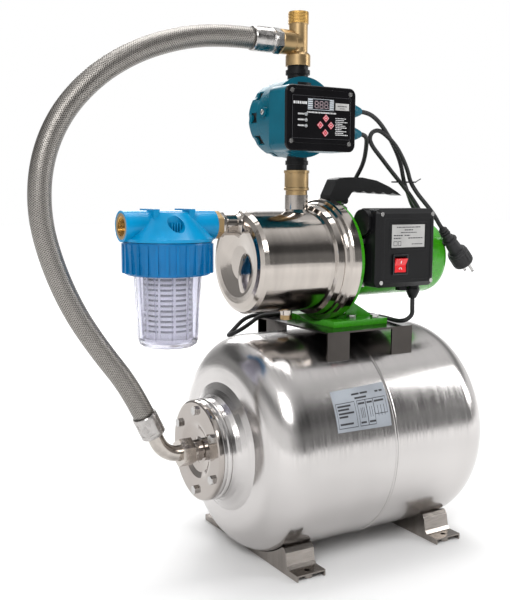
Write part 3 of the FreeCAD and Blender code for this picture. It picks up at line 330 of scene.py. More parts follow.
def braid():
    """Woven stainless braid: two families of diagonal strands from the tube's own coordinates."""
    s = Shader("hose_braid", (0.42, 0.40, 0.375), 0.9, 0.34)
    around = 0.1068      # metres once round the hose
    slope = 0.62         # strands per turn against strands per length

    def math_node(operation, first, second=None, constant=None):
        node = s.nodes.new("ShaderNodeMath")
        node.operation = operation
        s.links.new(first, node.inputs[0])
        if second is not None:
            s.links.new(second, node.inputs[1])
        if constant is not None:
            node.inputs[1].default_value = constant
        return node.outputs["Value"]

    def strands(slant, pitch):
        mapping = s.nodes.new("ShaderNodeMapping")
        mapping.inputs["Scale"].default_value = (slant * pitch, pitch * around * slope, 1)
        s.links.new(s.coords.outputs["UV"], mapping.inputs["Vector"])
        split = s.nodes.new("ShaderNodeSeparateXYZ")
        s.links.new(mapping.outputs["Vector"], split.inputs["Vector"])
        total = math_node("ADD", split.outputs["X"], split.outputs["Y"])
        return math_node("PINGPONG", total, constant=0.5)

    high = math_node("MAXIMUM", strands(1.0, 300.0), strands(-1.0, 300.0))
    wires = math_node("MAXIMUM", strands(1.0, 1500.0), strands(-1.0, 1500.0))
    fleck = s.noise(900.0, 3.0)
    tone = math_node("MULTIPLY", high, s.span(fleck, 0.55, 1.35))
    tone = math_node("MULTIPLY", tone, s.span(wires, 0.75, 1.15, 0.1, 0.5))
    s.colour(s.ramp(tone, (0.08, (0.025, 0.022, 0.020)), (0.24, (0.16, 0.148, 0.135)),
                    (0.5, (0.42, 0.40, 0.375))))
    s.roughness(s.span(fleck, 0.26, 0.46))
    s.bump(high, 0.55, 0.0007)
    s.bump(wires, 0.25, 0.0002)
    return s.material


def clear_plastic(name, colour, rough):
    s = Shader(name, colour, 0.0, rough)
    s.roughness(s.span(s.noise(18.0, 2.0), rough * 0.6, rough * 1.8))
    s.bump(s.noise(24.0, 2.0), 0.04, 0.001)
    s.set(Transmission_Weight=0.9, IOR=1.22)
    return s.material


GREEN = (0.045, 0.36, 0.007)
BLACK = (0.0055, 0.0055, 0.0062)
M = {
    "tank": polished_steel("tank_stainless", (0.56, 0.54, 0.53), 0.19, 14.0, 0, 0.05, 0.05, 2.5),
    "casing": polished_steel("casing_stainless", (0.47, 0.43, 0.395), 0.12, 30.0, 0, 0.14, 0.13, 12.0),
    "flange": polished_steel("flange_stainless", (0.40, 0.365, 0.34), 0.10, 30.0, 0, 0.05, 0.10, 14.0),
    "feet": polished_steel("feet_stainless", (0.34, 0.31, 0.285), 0.20, 40.0, 1, 0.10, 0.22, 14.0),
    # Painted shade: the polished stainless bracket gets a near-black colour for the dark it reflects.
    "bracket": polished_steel("bracket_stainless_painted_shade", (0.062, 0.056, 0.052), 0.17, 40.0, 1, 0.10, 0.3, 14.0),
    "zinc": plated("bright_zinc", (0.52, 0.51, 0.50), 0.2),
    "crimp": plated("crimped_steel", (0.50, 0.48, 0.465), 0.24, 0.7),
    "elbow": plated("elbow_steel", (0.52, 0.48, 0.44), 0.15, 0.8),
    "ground": plated("ground_steel", (0.6, 0.6, 0.6), 0.3),
    "core": cast_metal("laminated_core", (0.2, 0.2, 0.2), 0.6),
    "brass": cast_metal("satin_brass", (0.41, 0.285, 0.145), 0.36, 500.0, 0.2),
    "thread": plated("bright_brass", (0.58, 0.35, 0.105), 0.2, 0.7),
    "hose": braid(),
    "rubber": rubber("black_rubber", (0.012, 0.012, 0.013)),
    "green": paint("green_paint", GREEN),
    "black": plastic("black_plastic", BLACK, 0.36, edge=2.0, edge_add=0.012, shine=0.2),
    "panel": plastic("panel_black", (0.003, 0.0027, 0.0036), 0.16, 900.0, 0.03, 0.0, 2.0, 0.02, 0.22),
    "teal": plastic("teal_plastic", (0.0, 0.098, 0.148), 0.3, edge=1.6, edge_add=0.015, shine=0.13),
    "red": plastic("red_plastic", (0.72, 0.010, 0.016), 0.2, 700.0, 0.04, 0.4, 1.2, 0.03),
    "key": plastic("key_red", (0.52, 0.008, 0.035), 0.3, 700.0, 0.04, 0.2, 1.2, 0.05),
    "display": plastic("display_lens", (0.012, 0.013, 0.017), 0.08, 500.0, 0.02, 0.1),
    "lcd": plastic("display_bars", (0.50, 0.54, 0.58), 0.3, 500.0, 0.02),
    "digit": plastic("display_digits", (0.33, 0.25, 0.27), 0.3, 500.0, 0.02),
    "board": plastic("circuit_board", (0.01, 0.12, 0.05), 0.4),
    "can": plated("capacitor_can", (0.7, 0.7, 0.72), 0.3),
    "head": plastic("filter_head_blue", (0.0, 0.245, 0.50), 0.24, 300.0, 0.05, 0.12, 1.3, 0.03, 0.2),
    "ring": plastic("filter_ring_blue", (0.0, 0.135, 0.345), 0.28, 300.0, 0.05, 0.12, 1.3, 0.04, 0.2),
    "bowl": clear_plastic("filter_bowl_clear", (0.90, 0.90, 0.975), 0.02),
    "core_white": plastic("filter_core_white", (0.78, 0.77, 0.82), 0.45),
    # Dark grey painted shade for the gaps in the filter cartridge's slots.
    "mesh": plastic("filter_slot_shade_grey", (0.16, 0.16, 0.19), 0.6),
    "label": plastic("silver_label", (0.42, 0.415, 0.405), 0.35, 2000.0, 0.04, 0.0, 1.0),
    "sticker": plastic("grey_sticker", (0.31, 0.335, 0.37), 0.4, 2000.0, 0.04, 0.0, 1.0),
    "print": plastic("dark_print", (0.03, 0.03, 0.035), 0.5),
    "white": plastic("white_print", (0.66, 0.66, 0.67), 0.5),
    "grey": plastic("grey_print", (0.26, 0.26, 0.27), 0.5),
    "trim": plastic("dark_trim", (0.035, 0.035, 0.04), 0.3),
}

FINISH = {
    "tank": ["tank_shell_left", "tank_shell_right"],
    "flange": ["tank_flange", "air_valve"],
    "casing": ["pump_casing"],
    "feet": ["tank_feet"],
    "bracket": ["pump_bracket"],
    "zinc": ["hex_bolts", "cover_screws", "hose_fitting_top"],
    "crimp": ["hose_ferrules"],
    "elbow": ["hose_elbow", "hose_swivel_nut"],
    "ground": ["motor_shaft", "bearings", "ejector", "impeller"],
    "core": ["stator", "rotor_core"],
    "brass": ["outlet_tee", "delivery_nipple", "filter_inserts", "filter_nipple", "drain_plug"],
    "rubber": ["mains_plug", "shaft_seal", "seal_rings", "tank_diaphragm"],
    "green": ["motor_bracket", "motor_housing", "fan_cover"],
    "black": ["carry_handle", "terminal_box", "terminal_cover", "rocker_bezel", "flow_tube", "check_plunger",
              "cooling_fan", "air_valve_cap", "cord_tie", "terminal_gland"],
    "panel": ["controller_cover"],
    "teal": ["controller_body", "controller_rear_cap", "controller_glands"],
    "red": ["power_rocker"],
    "key": ["key_up", "key_down", "key_left", "key_right"],
    "display": ["display_window"],
    "board": ["control_board"],
    "can": ["capacitor"],
    "head": ["filter_head"],
    "ring": ["filter_ring_nut"],
    "bowl": ["filter_bowl"],
    "core_white": ["filter_cartridge"],
}


def paint_over(obj, key):
    obj.data.materials.clear()
    obj.data.materials.append(M[key])
    return obj


def finish_nodes():
    for key, names in FINISH.items():
        for name in names:
            obj = NODES[name]
            for k in range(max(1, len(obj.material_slots))):
                if obj.material_slots:
                    obj.material_slots[k].material = M[key]
                else:
                    obj.data.materials.append(M[key])
            obj.data.shade_smooth()
            obj.data.set_sharp_from_angle(angle=math.radians(32))


finish_nodes()

# ---- hose and leads -----------------------------------------------------------------------------
HOSE_ROUTE = [(-170, 0, 849), (-230, 0, 849), (-302, 0, 836.5), (-373, 0, 810.5), (-436, 0, 770),
              (-487, 0, 714), (-516, 0, 647), (-521, 0, 573), (-504, 0, 502), (-473, 0, 430),
              (-432, 0, 367), (-385, 0, 306), (-362, 0, 259)]
MAINS_ROUTE = [(16, -45, 740), (33, -45, 740), (60, -41, 727), (87, -33, 706), (111, -26, 682),
               (130, -20, 656), (140, -16, 628), (163, -2, 606), (189, 15, 582), (197, 7.5, 568.5),
               (194, -8, 561), (183, -21, 565), (165, -23, 586), (146, -23.5, 606), (126, -23, 625),
               (100, -26, 646), (75, -30, 667), (55, -32, 684), (46.5, -33, 697),
               (51, -34, 709), (65, -35, 713), (82, -36, 704), (103, -36, 688), (122, -33, 667),
               (139, -28, 645), (151, -22, 625), (159, -32, 605), (166, -47, 587), (172, -62, 569),
               (178.2, -70, 551.6), (185, -70, 544)]
MOTOR_LEAD_ROUTE = [(16, -45, 703), (31, -45, 703), (45, -28, 685), (60, -2, 657), (63, 24, 631),
                    (60, 46, 601), (55, 66, 569), (49, 79, 534), (44, 84, 497), (40, 85, 460),
                    (34, 86, 424), (17, 87, 397), (-13, 86, 386.5), (-48, 85, 386.5),
                    (-76, 85, 386.5), (-103, 81, 386.5), (-128, 71, 376), (-155, 66, 365),
                    (-163, 85, 356), (-152, 101, 355), (-135, 107, 366), (-119, 106, 380),
                    (-98, 101, 387), (-74, 98, 386.5), (-48, 97, 386.5), (-12, 98, 386.5), (24, 97, 386.5),
                    (55, 97, 386.5), (76, 84, 386.5), (82, 58, 386.5), (83, 26, 386.5),
                    (85, -8, 386.5), (86, -38, 386.5), (80, -66, 386.5), (76, -88, 387),
                    (81, -101, 390), (92, -104, 399), (98, -96, 411), (98, -96, 427)]
LEAD_D = 7.5
HOSE_D = 34.0


def add_hose():
    line = curve_points(HOSE_ROUTE)
    hose = tube_along("hose_braided", line, HOSE_D / 2 * MM, 48)
    paint_over(hose, "hose")
    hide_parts("hose")


def add_leads(plug_pieces):
    mains_line = curve_points(MAINS_ROUTE)
    mains = paint_over(tube_along("mains_lead_rubber", mains_line, LEAD_D / 2 * MM, 24), "rubber")
    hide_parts("mains_lead")
    motor_line = curve_points(MOTOR_LEAD_ROUTE)
    motor = paint_over(tube_along("motor_lead_rubber", motor_line, LEAD_D / 2 * MM, 24), "rubber")
    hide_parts("motor_lead")


add_hose()


# ---- details ------------------------------------------------------------------------------------
BOX_FACES = [(0, 1, 3, 2), (4, 6, 7, 5), (0, 4, 5, 1), (2, 3, 7, 6), (0, 2, 6, 4), (1, 5, 7, 3)]
CONTROLLER_Z = 728.0
PANEL_FACE = -71.2
LED_ROWS = (728.0, 719.0, 710.0)
KEY_PLACES = {"up": (-73, 723), "left": (-84, 712), "right": (-63, 712), "down": (-74, 700)}
FILTER_X = -319.0
PIPE_PITCH = 2.309        # one inch pipe thread


class Maker:
    """Collects simple solids, in millimetres, into one piece."""

    def __init__(self):
        self.verts = []
        self.faces = []

    def add(self, verts, faces):
        start = len(self.verts)
        self.verts += [Vector(v) for v in verts]
        self.faces += [[start + i for i in face] for face in faces]
        return self

    def box(self, x0, x1, y0, y1, z0, z1):
        corners = [(x, y, z) for x in (x0, x1) for y in (y0, y1) for z in (z0, z1)]
        return self.add(corners, BOX_FACES)

    def frame_xz(self, x0, x1, y0, y1, z0, z1, width):
        self.box(x0, x1, y0, y1, z0, z0 + width)
        self.box(x0, x1, y0, y1, z1 - width, z1)
        self.box(x0, x0 + width, y0, y1, z0 + width, z1 - width)
        return self.box(x1 - width, x1, y0, y1, z0 + width, z1 - width)

    def lathe(self, profile, origin, axis, sides=48):
        """Closed outline of (along, radius) pairs turned about the axis."""
        axis = Vector(axis).normalized()
        guide = Vector((1, 0, 0)) if abs(axis.z) > 0.9 else Vector((0, 0, 1))
        side = (guide - axis * guide.dot(axis)).normalized()
        other = axis.cross(side)
        origin = Vector(origin)
        verts, faces, count = [], [], len(profile)
        for k in range(sides):
            angle = 2 * math.pi * k / sides
            spoke = side * math.cos(angle) + other * math.sin(angle)
            verts += [origin + axis * along + spoke * radius for along, radius in profile]
        for k in range(sides):
            n = (k + 1) % sides
            for j in range(count):
                m = (j + 1) % count
                faces.append((k * count + j, n * count + j, n * count + m, k * count + m))
        return self.add(verts, faces)

    def bars(self, rows, y0, y1):
        """Plain printed bars standing for small print: rows of (x0, x1, z, height)."""
        for x0, x1, z, height in rows:
            self.box(x0, x1, y0, y1, z - height / 2, z + height / 2)
        return self

    def piece(self, name, key, slot, body="base", bevel=0.0, turn=None):
        mesh = bpy.data.meshes.new(name)
        mesh.from_pydata([tuple(v * MM) for v in self.verts], [], self.faces)
        work = bmesh.new()
        work.from_mesh(mesh)
        bmesh.ops.remove_doubles(work, verts=work.verts, dist=1e-7)
        bmesh.ops.recalc_face_normals(work, faces=work.faces)
        if bevel:
            sharp = [e for e in work.edges if e.is_manifold and e.calc_face_angle(0) > 0.6]
            bmesh.ops.bevel(work, geom=sharp, offset=bevel * MM, segments=2, profile=0.6, affect="EDGES")
        if turn:
            bmesh.ops.transform(work, matrix=turn, verts=work.verts)
        work.to_mesh(mesh)
        work.free()
        obj = bpy.data.objects.new(name, mesh)
        bpy.context.scene.collection.objects.link(obj)
        mesh.materials.append(M[key])
        mesh.shade_smooth()
        mesh.set_sharp_from_angle(angle=math.radians(35))
        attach(obj, body)
        return obj


def dashes(x0, x1, z, height, lengths, gap=0.9):
    """A line of small print as separate bars between x0 and x1."""
    rows, x, k = [], x0, 0
    while x < x1 - 0.5:
        end = min(x + lengths[k % len(lengths)], x1)
        rows.append((x, end, z, height))
        x = end + gap
        k += 1
    return rows


def add_terminal_details():
    """Rating plate, its print, the lid's raised panel and the marks on the rocker."""
    face = -121.6
    printed = (face - 0.5, face - 0.3)
    plate = Maker().box(27.2, 97.8, face - 0.4, face + 0.2, 516.2, 553.8)
    plate.piece("rating_plate", "label", "can", bevel=0.15)
    ink = Maker()
    lines = [(37, 88, 549.5, 1.5, [3, 5, 2, 6, 4, 3]), (54, 72, 545, 1.7, [4, 3, 5]),
             (46, 80, 540.8, 1.3, [6, 3, 4, 5]), (31, 50, 536, 1.7, [5, 4, 3]), (54, 66, 536, 1.7, [4, 5]),
             (31, 47, 531.5, 1.7, [3, 5, 4]), (62, 94, 531.5, 1.5, [5, 3, 6, 4]),
             (70, 94, 521.5, 1.3, [3, 2, 4])]
    for line in lines:
        ink.bars(dashes(*line), *printed)
    ink.frame_xz(31, 39, *printed, 519, 526.5, 0.8)
    ink.frame_xz(41, 47, *printed, 519, 526.5, 0.8)
    ink.piece("rating_print", "print", "black_plastic")
    rib = Maker().frame_xz(22.5, 102.5, face, face + 0.6, 512, 558, 0.9)
    rib.piece("lid_panel_rib", "black", "black_plastic", bevel=0.2)
    rocker_x, rocker_z = 46, 488
    pivot = Matrix.Translation((rocker_x * MM, -0.118, rocker_z * MM))
    turn = pivot @ Matrix.Rotation(math.radians(11), 4, "X") @ pivot.inverted()
    marks = Maker()
    marks.box(rocker_x - 0.8, rocker_x + 0.8, -124.5, -122.5, rocker_z + 3.2, rocker_z + 8.6)
    marks.piece("rocker_mark_on", "white", "red_plastic", "rocker", 0.1, turn)
    ring = Maker().lathe([(0, 1.9), (0, 2.9), (1.5, 2.9), (1.5, 1.9)], (rocker_x, -124.4, rocker_z - 6.3),
                         (0, 1, 0), 28)
    ring.piece("rocker_mark_off", "white", "red_plastic", "rocker", 0.0, turn)
    bead = Maker().frame_xz(30.6, 61.4, -123.9, -123.5, 471.6, 504.4, 0.7)
    bead.piece("bezel_bead", "trim", "black_plastic", bevel=0.1)


def add_display():
    """Level bars at both ends of the display window and three figures between them."""
    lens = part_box("display_window")[0][1] / MM
    shown = (lens - 0.12, lens + 0.2)
    bars = Maker()
    for k in range(5):
        z = 738.0 + 3.3 * k
        bars.box(-107.4, -98.6, *shown, z - 1.1, z + 1.1)
        bars.box(-65.6, -57.6, *shown, z - 1.1, z + 1.1)
    bars.frame_xz(-107.6, -57.4, *shown, 735.4, 752.6, 0.6)
    bars.piece("display_bars", "lcd", "display")
    digits = Maker()
    for k in range(3):
        x = -94.5 + 9.4 * k
        for z in (738.6, 743.7, 748.8):
            digits.box(x + 1, x + 6, *shown, z - 0.55, z + 0.55)
        for z in (739.4, 744.5):
            digits.box(x, x + 1.1, *shown, z, z + 3.6)
            digits.box(x + 5.9, x + 7, *shown, z, z + 3.6)
        digits.box(x + 7.6, x + 8.6, *shown, 738.1, 739.1)
    digits.piece("display_digits", "digit", "display")


def add_panel_print():
    """Silver tag, plain bars for the panel's print, the lamps and the panel's outline."""
    face = PANEL_FACE
    label = Maker().box(-54.0, -27.0, face - 0.2, face + 0.2, 736.7, 747.9)
    label.piece("silver_tag", "label", "can", bevel=0.08)
    tag = Maker().bars(dashes(-50, -31, 743.2, 1.4, [4, 3, 5]), face - 0.3, face - 0.1)
    tag.bars(dashes(-45, -35, 739.6, 1.1, [3, 4]), face - 0.3, face - 0.1)
    tag.piece("silver_tag_print", "print", "black_plastic")
    printed = (face - 0.12, face + 0.1)
    ink = Maker()
    ink.bars(dashes(-135, -109.5, 745.4, 4.0, [3.2, 1.4, 3.4, 2.2, 1.6, 2.4], 1.3), *printed)
    for z in LED_ROWS:
        ink.bars(dashes(-126.5, -114.5, z + 0.2, 2.4, [1.8, 2.4, 1.5], 0.8), *printed)
    ink.bars(dashes(-109, -53, 731.3, 2.2, [1.6, 2.2, 1.2, 2.6, 1.8], 1.0), *printed)
    ends = [-33, -36, -30, -39, -34, -31, -42, -32, -37, -28]
    for k, end in enumerate(ends):
        ink.bars(dashes(-54 + (k % 2), end, 723.8 - 2.9 * k, 1.35, [2.2, 1.2, 2.8, 1.6, 2.0], 0.8), *printed)
    lamp_x = -110.9
    for z in LED_ROWS:
        ink.lathe([(0, 2.1), (0, 2.6), (0.3, 2.6), (0.3, 2.1)], (lamp_x, face - 0.12, z), (0, 1, 0), 24)
    ink.piece("panel_print", "white", "black_plastic")
    lamps = Maker()
    for z in LED_ROWS:
        lamps.lathe([(0, 0.05), (0, 1.1), (1.2, 1.2), (1.2, 0.05)], (lamp_x, face - 0.1, z), (0, 1, 0), 20)
    lamps.piece("lamp_lenses", "lcd", "display")
    trim = Maker().frame_xz(-137.2, -23.4, face - 0.18, face + 0.3, 690.2, 756.6, 0.55)
    trim.piece("panel_trim", "trim", "black_plastic")
    notch = Maker().box(-60.3, -59.5, face + 0.8, face + 1.3, 760.5, 768)
    notch.piece("cover_notch", "trim", "black_plastic")


def add_key_rims():
    """White diamond outline and a plain mark on each key."""
    outer, inner, bar, line = 5.3, 4.45, 1.7, 0.3
    corners = [(a * size, b * size) for size in (outer, inner) for a, b in ((1, 0), (0, 1), (-1, 0), (0, -1))]
    for name, (x, z) in KEY_PLACES.items():
        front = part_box("key_" + name)[0][1] / MM
        printed = (front - 0.12, front + 0.1)
        rim = Maker()
        verts = [(x + a, y, z + b) for y in printed for a, b in corners]
        faces = []
        for k in range(4):
            n = (k + 1) % 4
            faces += [(k, n, 4 + n, 4 + k), (8 + k, 12 + k, 12 + n, 8 + n), (k, 8 + k, 8 + n, n),
                      (4 + k, 4 + n, 12 + n, 12 + k)]
        rim.add(verts, faces)
        rim.box(x - bar, x + bar, *printed, z - line, z + line)
        if name in ("up", "right"):
            rim.box(x - line, x + line, *printed, z - bar, z + bar)
        rim.piece("key_rim_" + name, "white", "red_plastic", "key_" + name)


def add_cap_pocket_shade():
    """Painted shade: black lining in the ten pockets round the rear cap, for the shade in these recesses."""
    steps = 14
    row = steps + 1
    for k in range(10):
        angle = math.radians(36 * k)
        out = Vector((math.cos(angle), 0, math.sin(angle)))
        across = Vector((-math.sin(angle), 0, math.cos(angle)))
        centre = Vector((-80, 0, CONTROLLER_Z)) + out * 66
        verts = []
        for y in (26.4, 45.6):
            for radius in (9.95, 9.2):
                for j in range(row):
                    turn = math.radians(128 + 104 * j / steps)
                    spoke = (out * math.cos(turn) + across * math.sin(turn)) * radius
                    verts.append(centre + spoke + Vector((0, y, 0)))
        faces = [(0, row, 3 * row, 2 * row), (steps, 2 * row + steps, 3 * row + steps, row + steps)]
        for j in range(steps):
            a, b, c, d = j, row + j, 2 * row + j, 3 * row + j
            faces += [(a, a + 1, b + 1, b), (c, d, d + 1, c + 1), (a, c, c + 1, a + 1), (b, b + 1, d + 1, d)]
        Maker().add(verts, faces).piece("cap_pocket_%d" % k, "black", "black_plastic")


def add_controller_details():
    add_display()
    add_panel_print()
    add_key_rims()
    add_cap_pocket_shade()
    head = [(0, 0.1), (0, 4.2), (1.6, 4.2), (2.6, 3.0), (2.6, 0.1)]
    screw = Maker().lathe(head, (-150, -4, 734), (-1, 0, 0), 28)
    screw.piece("bleed_screw", "zinc", "fastener_steel", bevel=0.15)


def thread(root, crest, z0, z1):
    """Rings of a one inch pipe thread as (along, radius) pairs, closed on the inside."""
    outline = [(z0, root - 1.0)]
    turns = int((z1 - z0) / PIPE_PITCH)
    for k in range(turns):
        z = z0 + k * PIPE_PITCH
        outline += [(z + 0.1, root), (z + PIPE_PITCH * 0.42, crest), (z + PIPE_PITCH * 0.6, crest),
                    (z + PIPE_PITCH * 0.92, root)]
    outline.append((z0 + turns * PIPE_PITCH, root - 1.0))
    return outline


def add_pipe_details():
    top = Maker().lathe(thread(16.63, 17.15, 879.6, 898.2), (-80, 0, 0), (0, 0, 1), 64)
    top.piece("outlet_thread", "thread", "brass")
    inlet = Maker()
    outline = [(0.3, 15.9)]
    for k in range(8):
        x = 0.6 + PIPE_PITCH * k
        outline += [(x, 15.1), (x + 0.9, 14.1), (x + 1.3, 14.1), (x + 2.2, 15.1)]
    outline.append((19.4, 15.9))
    inlet.lathe(outline, (-396.0, 0, 553), (1, 0, 0), 64)
    inlet.piece("inlet_thread", "thread", "brass")
    rim = [(0, 16.5), (0, 19.0), (1.2, 20.0), (7.5, 20.0), (9, 19.0), (9, 16.5)]
    collar = Maker().lathe(rim, (-228.8, 0, 553), (1, 0, 0), 6)
    collar.piece("inlet_collar", "casing", "stainless", bevel=0.5)
    flare = [(5, 16.8), (5, 17.3), (9, 17.9), (12, 19.0), (14, 20.6), (16, 22.4), (17, 22.4), (17, 16.8)]
    Maker().lathe(flare, (-207, 0, 553), (1, 0, 0), 56).piece("inlet_flare", "casing", "stainless")
    tail = Maker().lathe(thread(16.64, 17.1, 0, 7.2), (-280.2, 0, 188), (1, 0, 0), 64)
    tail.piece("flange_thread", "elbow", "fastener_steel")


def add_plug_details():
    """Ribs on the plug's grip and head, and its two pins; returns the pieces that hang on the cord."""
    start = Vector((185, -70, 544))
    axis = Vector((6.8, 0, -7.6)).normalized()
    ribs = Maker()
    for along, radius in ((4.5, 8.2), (9.5, 8.8), (14.5, 9.3)):
        rib = [(along - 1.3, 5), (along - 1.3, radius - 0.6), (along - 0.7, radius), (along + 0.7, radius),
               (along + 1.3, radius - 0.6), (along + 1.3, 5)]
        ribs.lathe(rib, start, axis, 36)
    ribs.lathe([(27, 9), (27, 13.0), (28, 13.8), (31, 13.8), (32, 13.0), (32, 9)], start, axis, 40)
    ribs.lathe([(55, 10), (55, 16.5), (56.5, 17.6), (58.5, 17.6), (59.5, 16.5), (59.5, 10)], start, axis, 40)
    side = Vector((0, 1, 0))
    other = axis.cross(side)
    for k in range(16):
        angle = 2 * math.pi * k / 16
        out = side * math.cos(angle) + other * math.sin(angle)
        across = axis.cross(out)
        corners = [start + axis * along + across * w + out * h
                   for along in (63, 81) for w in (-1.0, 1.0) for h in (17.5, 19.2)]
        ribs.add(corners, BOX_FACES)
    body = ribs.piece("plug_ribs", "rubber", "rubber_black", bevel=0.25)
    pin = [(0, 0.05), (0, 2.46), (17.2, 2.46), (18.6, 1.9), (19.06, 0.9), (19.08, 0.05)]
    pins = Maker()
    for half_pitch in (-9.5, 9.5):
        base = start + axis * 86 + Vector((0, half_pitch, 0))
        pins.lathe(pin, base, axis, 24)
        pins.lathe([(0, 0.05), (0, 2.7), (7, 2.7), (7, 0.05)], base, axis, 24)
    metal = pins.piece("plug_pins", "zinc", "fastener_steel")
    return [body, metal]


def add_sticker():
    """Plain information label on the front of the tank, curved with it."""
    def on_tank(u, v, lift):
        x = (-112 - 3 * (1 - v)) * (1 - u) + (-4 - 5 * (1 - v)) * u
        angle = math.radians((15.6 + 20.6 * v) * (1 - u) + (15.2 + 22.8 * v) * u)
        radius = 182.0 + lift
        return Vector((x, -radius * math.cos(angle), 188 + radius * math.sin(angle)))

    def patch(maker, u0, u1, v0, v1, lift, thick=0.25, steps=10):
        verts, faces = [], []
        columns = max(2, int((u1 - u0) * 8) + 1)
        for lift_now in (lift, lift - thick):
            for i in range(columns):
                for j in range(steps):
                    u = u0 + (u1 - u0) * i / (columns - 1)
                    v = v0 + (v1 - v0) * j / (steps - 1)
                    verts.append(on_tank(u, v, lift_now))
        base = columns * steps
        for i in range(columns - 1):
            for j in range(steps - 1):
                a = i * steps + j
                faces.append((a, a + 1, a + steps + 1, a + steps))
                faces.append((base + a, base + a + steps, base + a + steps + 1, base + a + 1))
        for i in range(columns - 1):
            for j in (0, steps - 1):
                a = i * steps + j
                faces.append((a, a + steps, base + a + steps, base + a))
        for j in range(steps - 1):
            for i in (0, columns - 1):
                a = i * steps + j
                faces.append((a, base + a, base + a + 1, a + 1))
        return maker.add(verts, faces)

    patch(Maker(), 0, 1, 0, 1, 0.35, 0.3, 20).piece("tank_label", "sticker", "can")
    ink = Maker()
    layout = [(0.36, 0.50, 0.84), (0.52, 0.66, 0.84), (0.80, 0.86, 0.82), (0.88, 0.94, 0.82),
              (0.40, 0.62, 0.74), (0.06, 0.30, 0.60), (0.06, 0.26, 0.52), (0.06, 0.34, 0.43),
              (0.06, 0.22, 0.35), (0.06, 0.30, 0.18), (0.44, 0.56, 0.60), (0.60, 0.70, 0.60),
              (0.74, 0.92, 0.60), (0.44, 0.54, 0.16), (0.60, 0.72, 0.16)]
    for u0, u1, v in layout:
        patch(ink, u0, u1, v - 0.022, v + 0.022, 0.42, 0.15, 3)
    for u0, u1, v0, v1 in ((0.03, 0.38, 0.08, 0.68), (0.42, 0.58, 0.08, 0.68), (0.58, 0.72, 0.08, 0.68),
                           (0.72, 0.96, 0.30, 0.68)):
        t = 0.006
        patch(ink, u0, u1, v0, v0 + 2.6 * t, 0.42, 0.15, 3)
        patch(ink, u0, u1, v1 - 2.6 * t, v1, 0.42, 0.15, 3)
        patch(ink, u0, u0 + t, v0, v1, 0.42, 0.15, 8)
        patch(ink, u1 - t, u1, v0, v1, 0.42, 0.15, 8)
    for u in (0.47, 0.50, 0.53, 0.63, 0.67, 0.78, 0.84, 0.90):
        patch(ink, u, u + 0.008, 0.26, 0.50, 0.42, 0.15, 5)
    ink.piece("tank_label_print", "print", "black_plastic")


def add_casing_boss():
    """Upright oval pressed into the casing front, with a shallow ring round it."""
    verts, faces, rings, sides = [], [], 14, 48
    centre = Vector((-188.6, -17, 468.5))
    for k in range(rings + 1):
        t = k / rings
        height = 11.0 * (1 - t * t) ** 1.2 - 1.2 * t
        for j in range(sides):
            angle = 2 * math.pi * j / sides
            verts.append(centre + Vector((-height, 24 * t * math.cos(angle), 43 * t * math.sin(angle))))
    for k in range(rings):
        for j in range(sides):
            n = (j + 1) % sides
            faces.append((k * sides + j, k * sides + n, (k + 1) * sides + n, (k + 1) * sides + j))
    Maker().add(verts, faces).piece("casing_front_oval", "casing", "stainless")


def add_filter_details():
    """Upright ribs round the cartridge core, and flutes on the clear bowl."""
    def upright_bar(maker, angle, low, high, r_low, r_high, thick, width):
        out = Vector((math.cos(angle), math.sin(angle), 0))
        across = Vector((-math.sin(angle), math.cos(angle), 0))
        corners = []
        for z, radius in ((low, r_low), (high, r_high)):
            for w in (-width / 2, width / 2):
                for lift in (-thick, thick):
                    corners.append(Vector((FILTER_X, 0, z)) + across * w + out * (radius + lift))
        maker.add(corners, BOX_FACES)

    ribs = Maker()
    for k in range(10):
        upright_bar(ribs, math.radians(36 * k + 8), 381, 513, 37.4, 37.4, 1.2, 3.2)
    ribs.piece("cartridge_ribs", "core_white", "cartridge", "bowl", 0.3)
    # Painted shade: dark grey bands in the gaps between the cartridge core's rings, for the shade in its
    # slots.
    slot_shade = Maker()
    for k in range(15):
        z = 390.4 + 8 * k
        slot_shade.lathe([(z, 33.6), (z, 34.8), (z + 3.2, 34.8), (z + 3.2, 33.6)], (FILTER_X, 0, 0), (0, 0, 1), 48)
    slot_shade.piece("cartridge_slot_shade", "mesh", "cartridge", "bowl")
    flutes = Maker()
    for k in range(12):
        upright_bar(flutes, math.radians(30 * k + 12), 380, 486, 47.3, 52.9, 0.9, 2.4)
    flutes.piece("bowl_flutes", "bowl", "bowl_clear", "bowl", 0.3)


add_terminal_details()
add_controller_details()
add_filter_details()
add_pipe_details()
add_leads(add_plug_details())
add_sticker()
add_casing_boss()


# ---- studio -------------------------------------------------------------------------------------
def add_area(name, place, target, size, power):
    data = bpy.data.lights.new(name, "AREA")
    data.shape = "RECTANGLE"
    data.size, data.size_y = size
    data.energy = power
    light = bpy.data.objects.new(name, data)
    aim = Vector(target) - Vector(place)
    light.matrix_world = Matrix.Translation(place) @ aim.to_track_quat("-Z", "Y").to_matrix().to_4x4()
    bpy.context.scene.collection.objects.link(light)


def add_floor():
    """Pale floor that glows towards its edge, so that it ends in white."""
    shader = Shader("pale_floor", (0.90, 0.90, 0.90), 0.0, 0.7)
    shader.bump(shader.noise(60.0, 2.0), 0.05, 0.001)
    far = shader.nodes.new("ShaderNodeVectorMath")
    far.operation = "LENGTH"
    shader.links.new(shader.coords.outputs["Object"], far.inputs[0])
    glow = shader.span(far.outputs["Value"], 0.0, 0.6, 0.9, 3.0)
    shader.links.new(glow, shader.bsdf.inputs["Emission Strength"])
    shader.set(Emission_Color=(1.0, 1.0, 1.0, 1.0))
    size, below = 14.0, -0.0006
    corners = [(-size, -size, below), (size, -size, below), (size, size, below), (-size, size, below)]
    floor = new_mesh("floor", corners, [(0, 1, 2, 3)])
    floor.data.materials.append(shader.material)


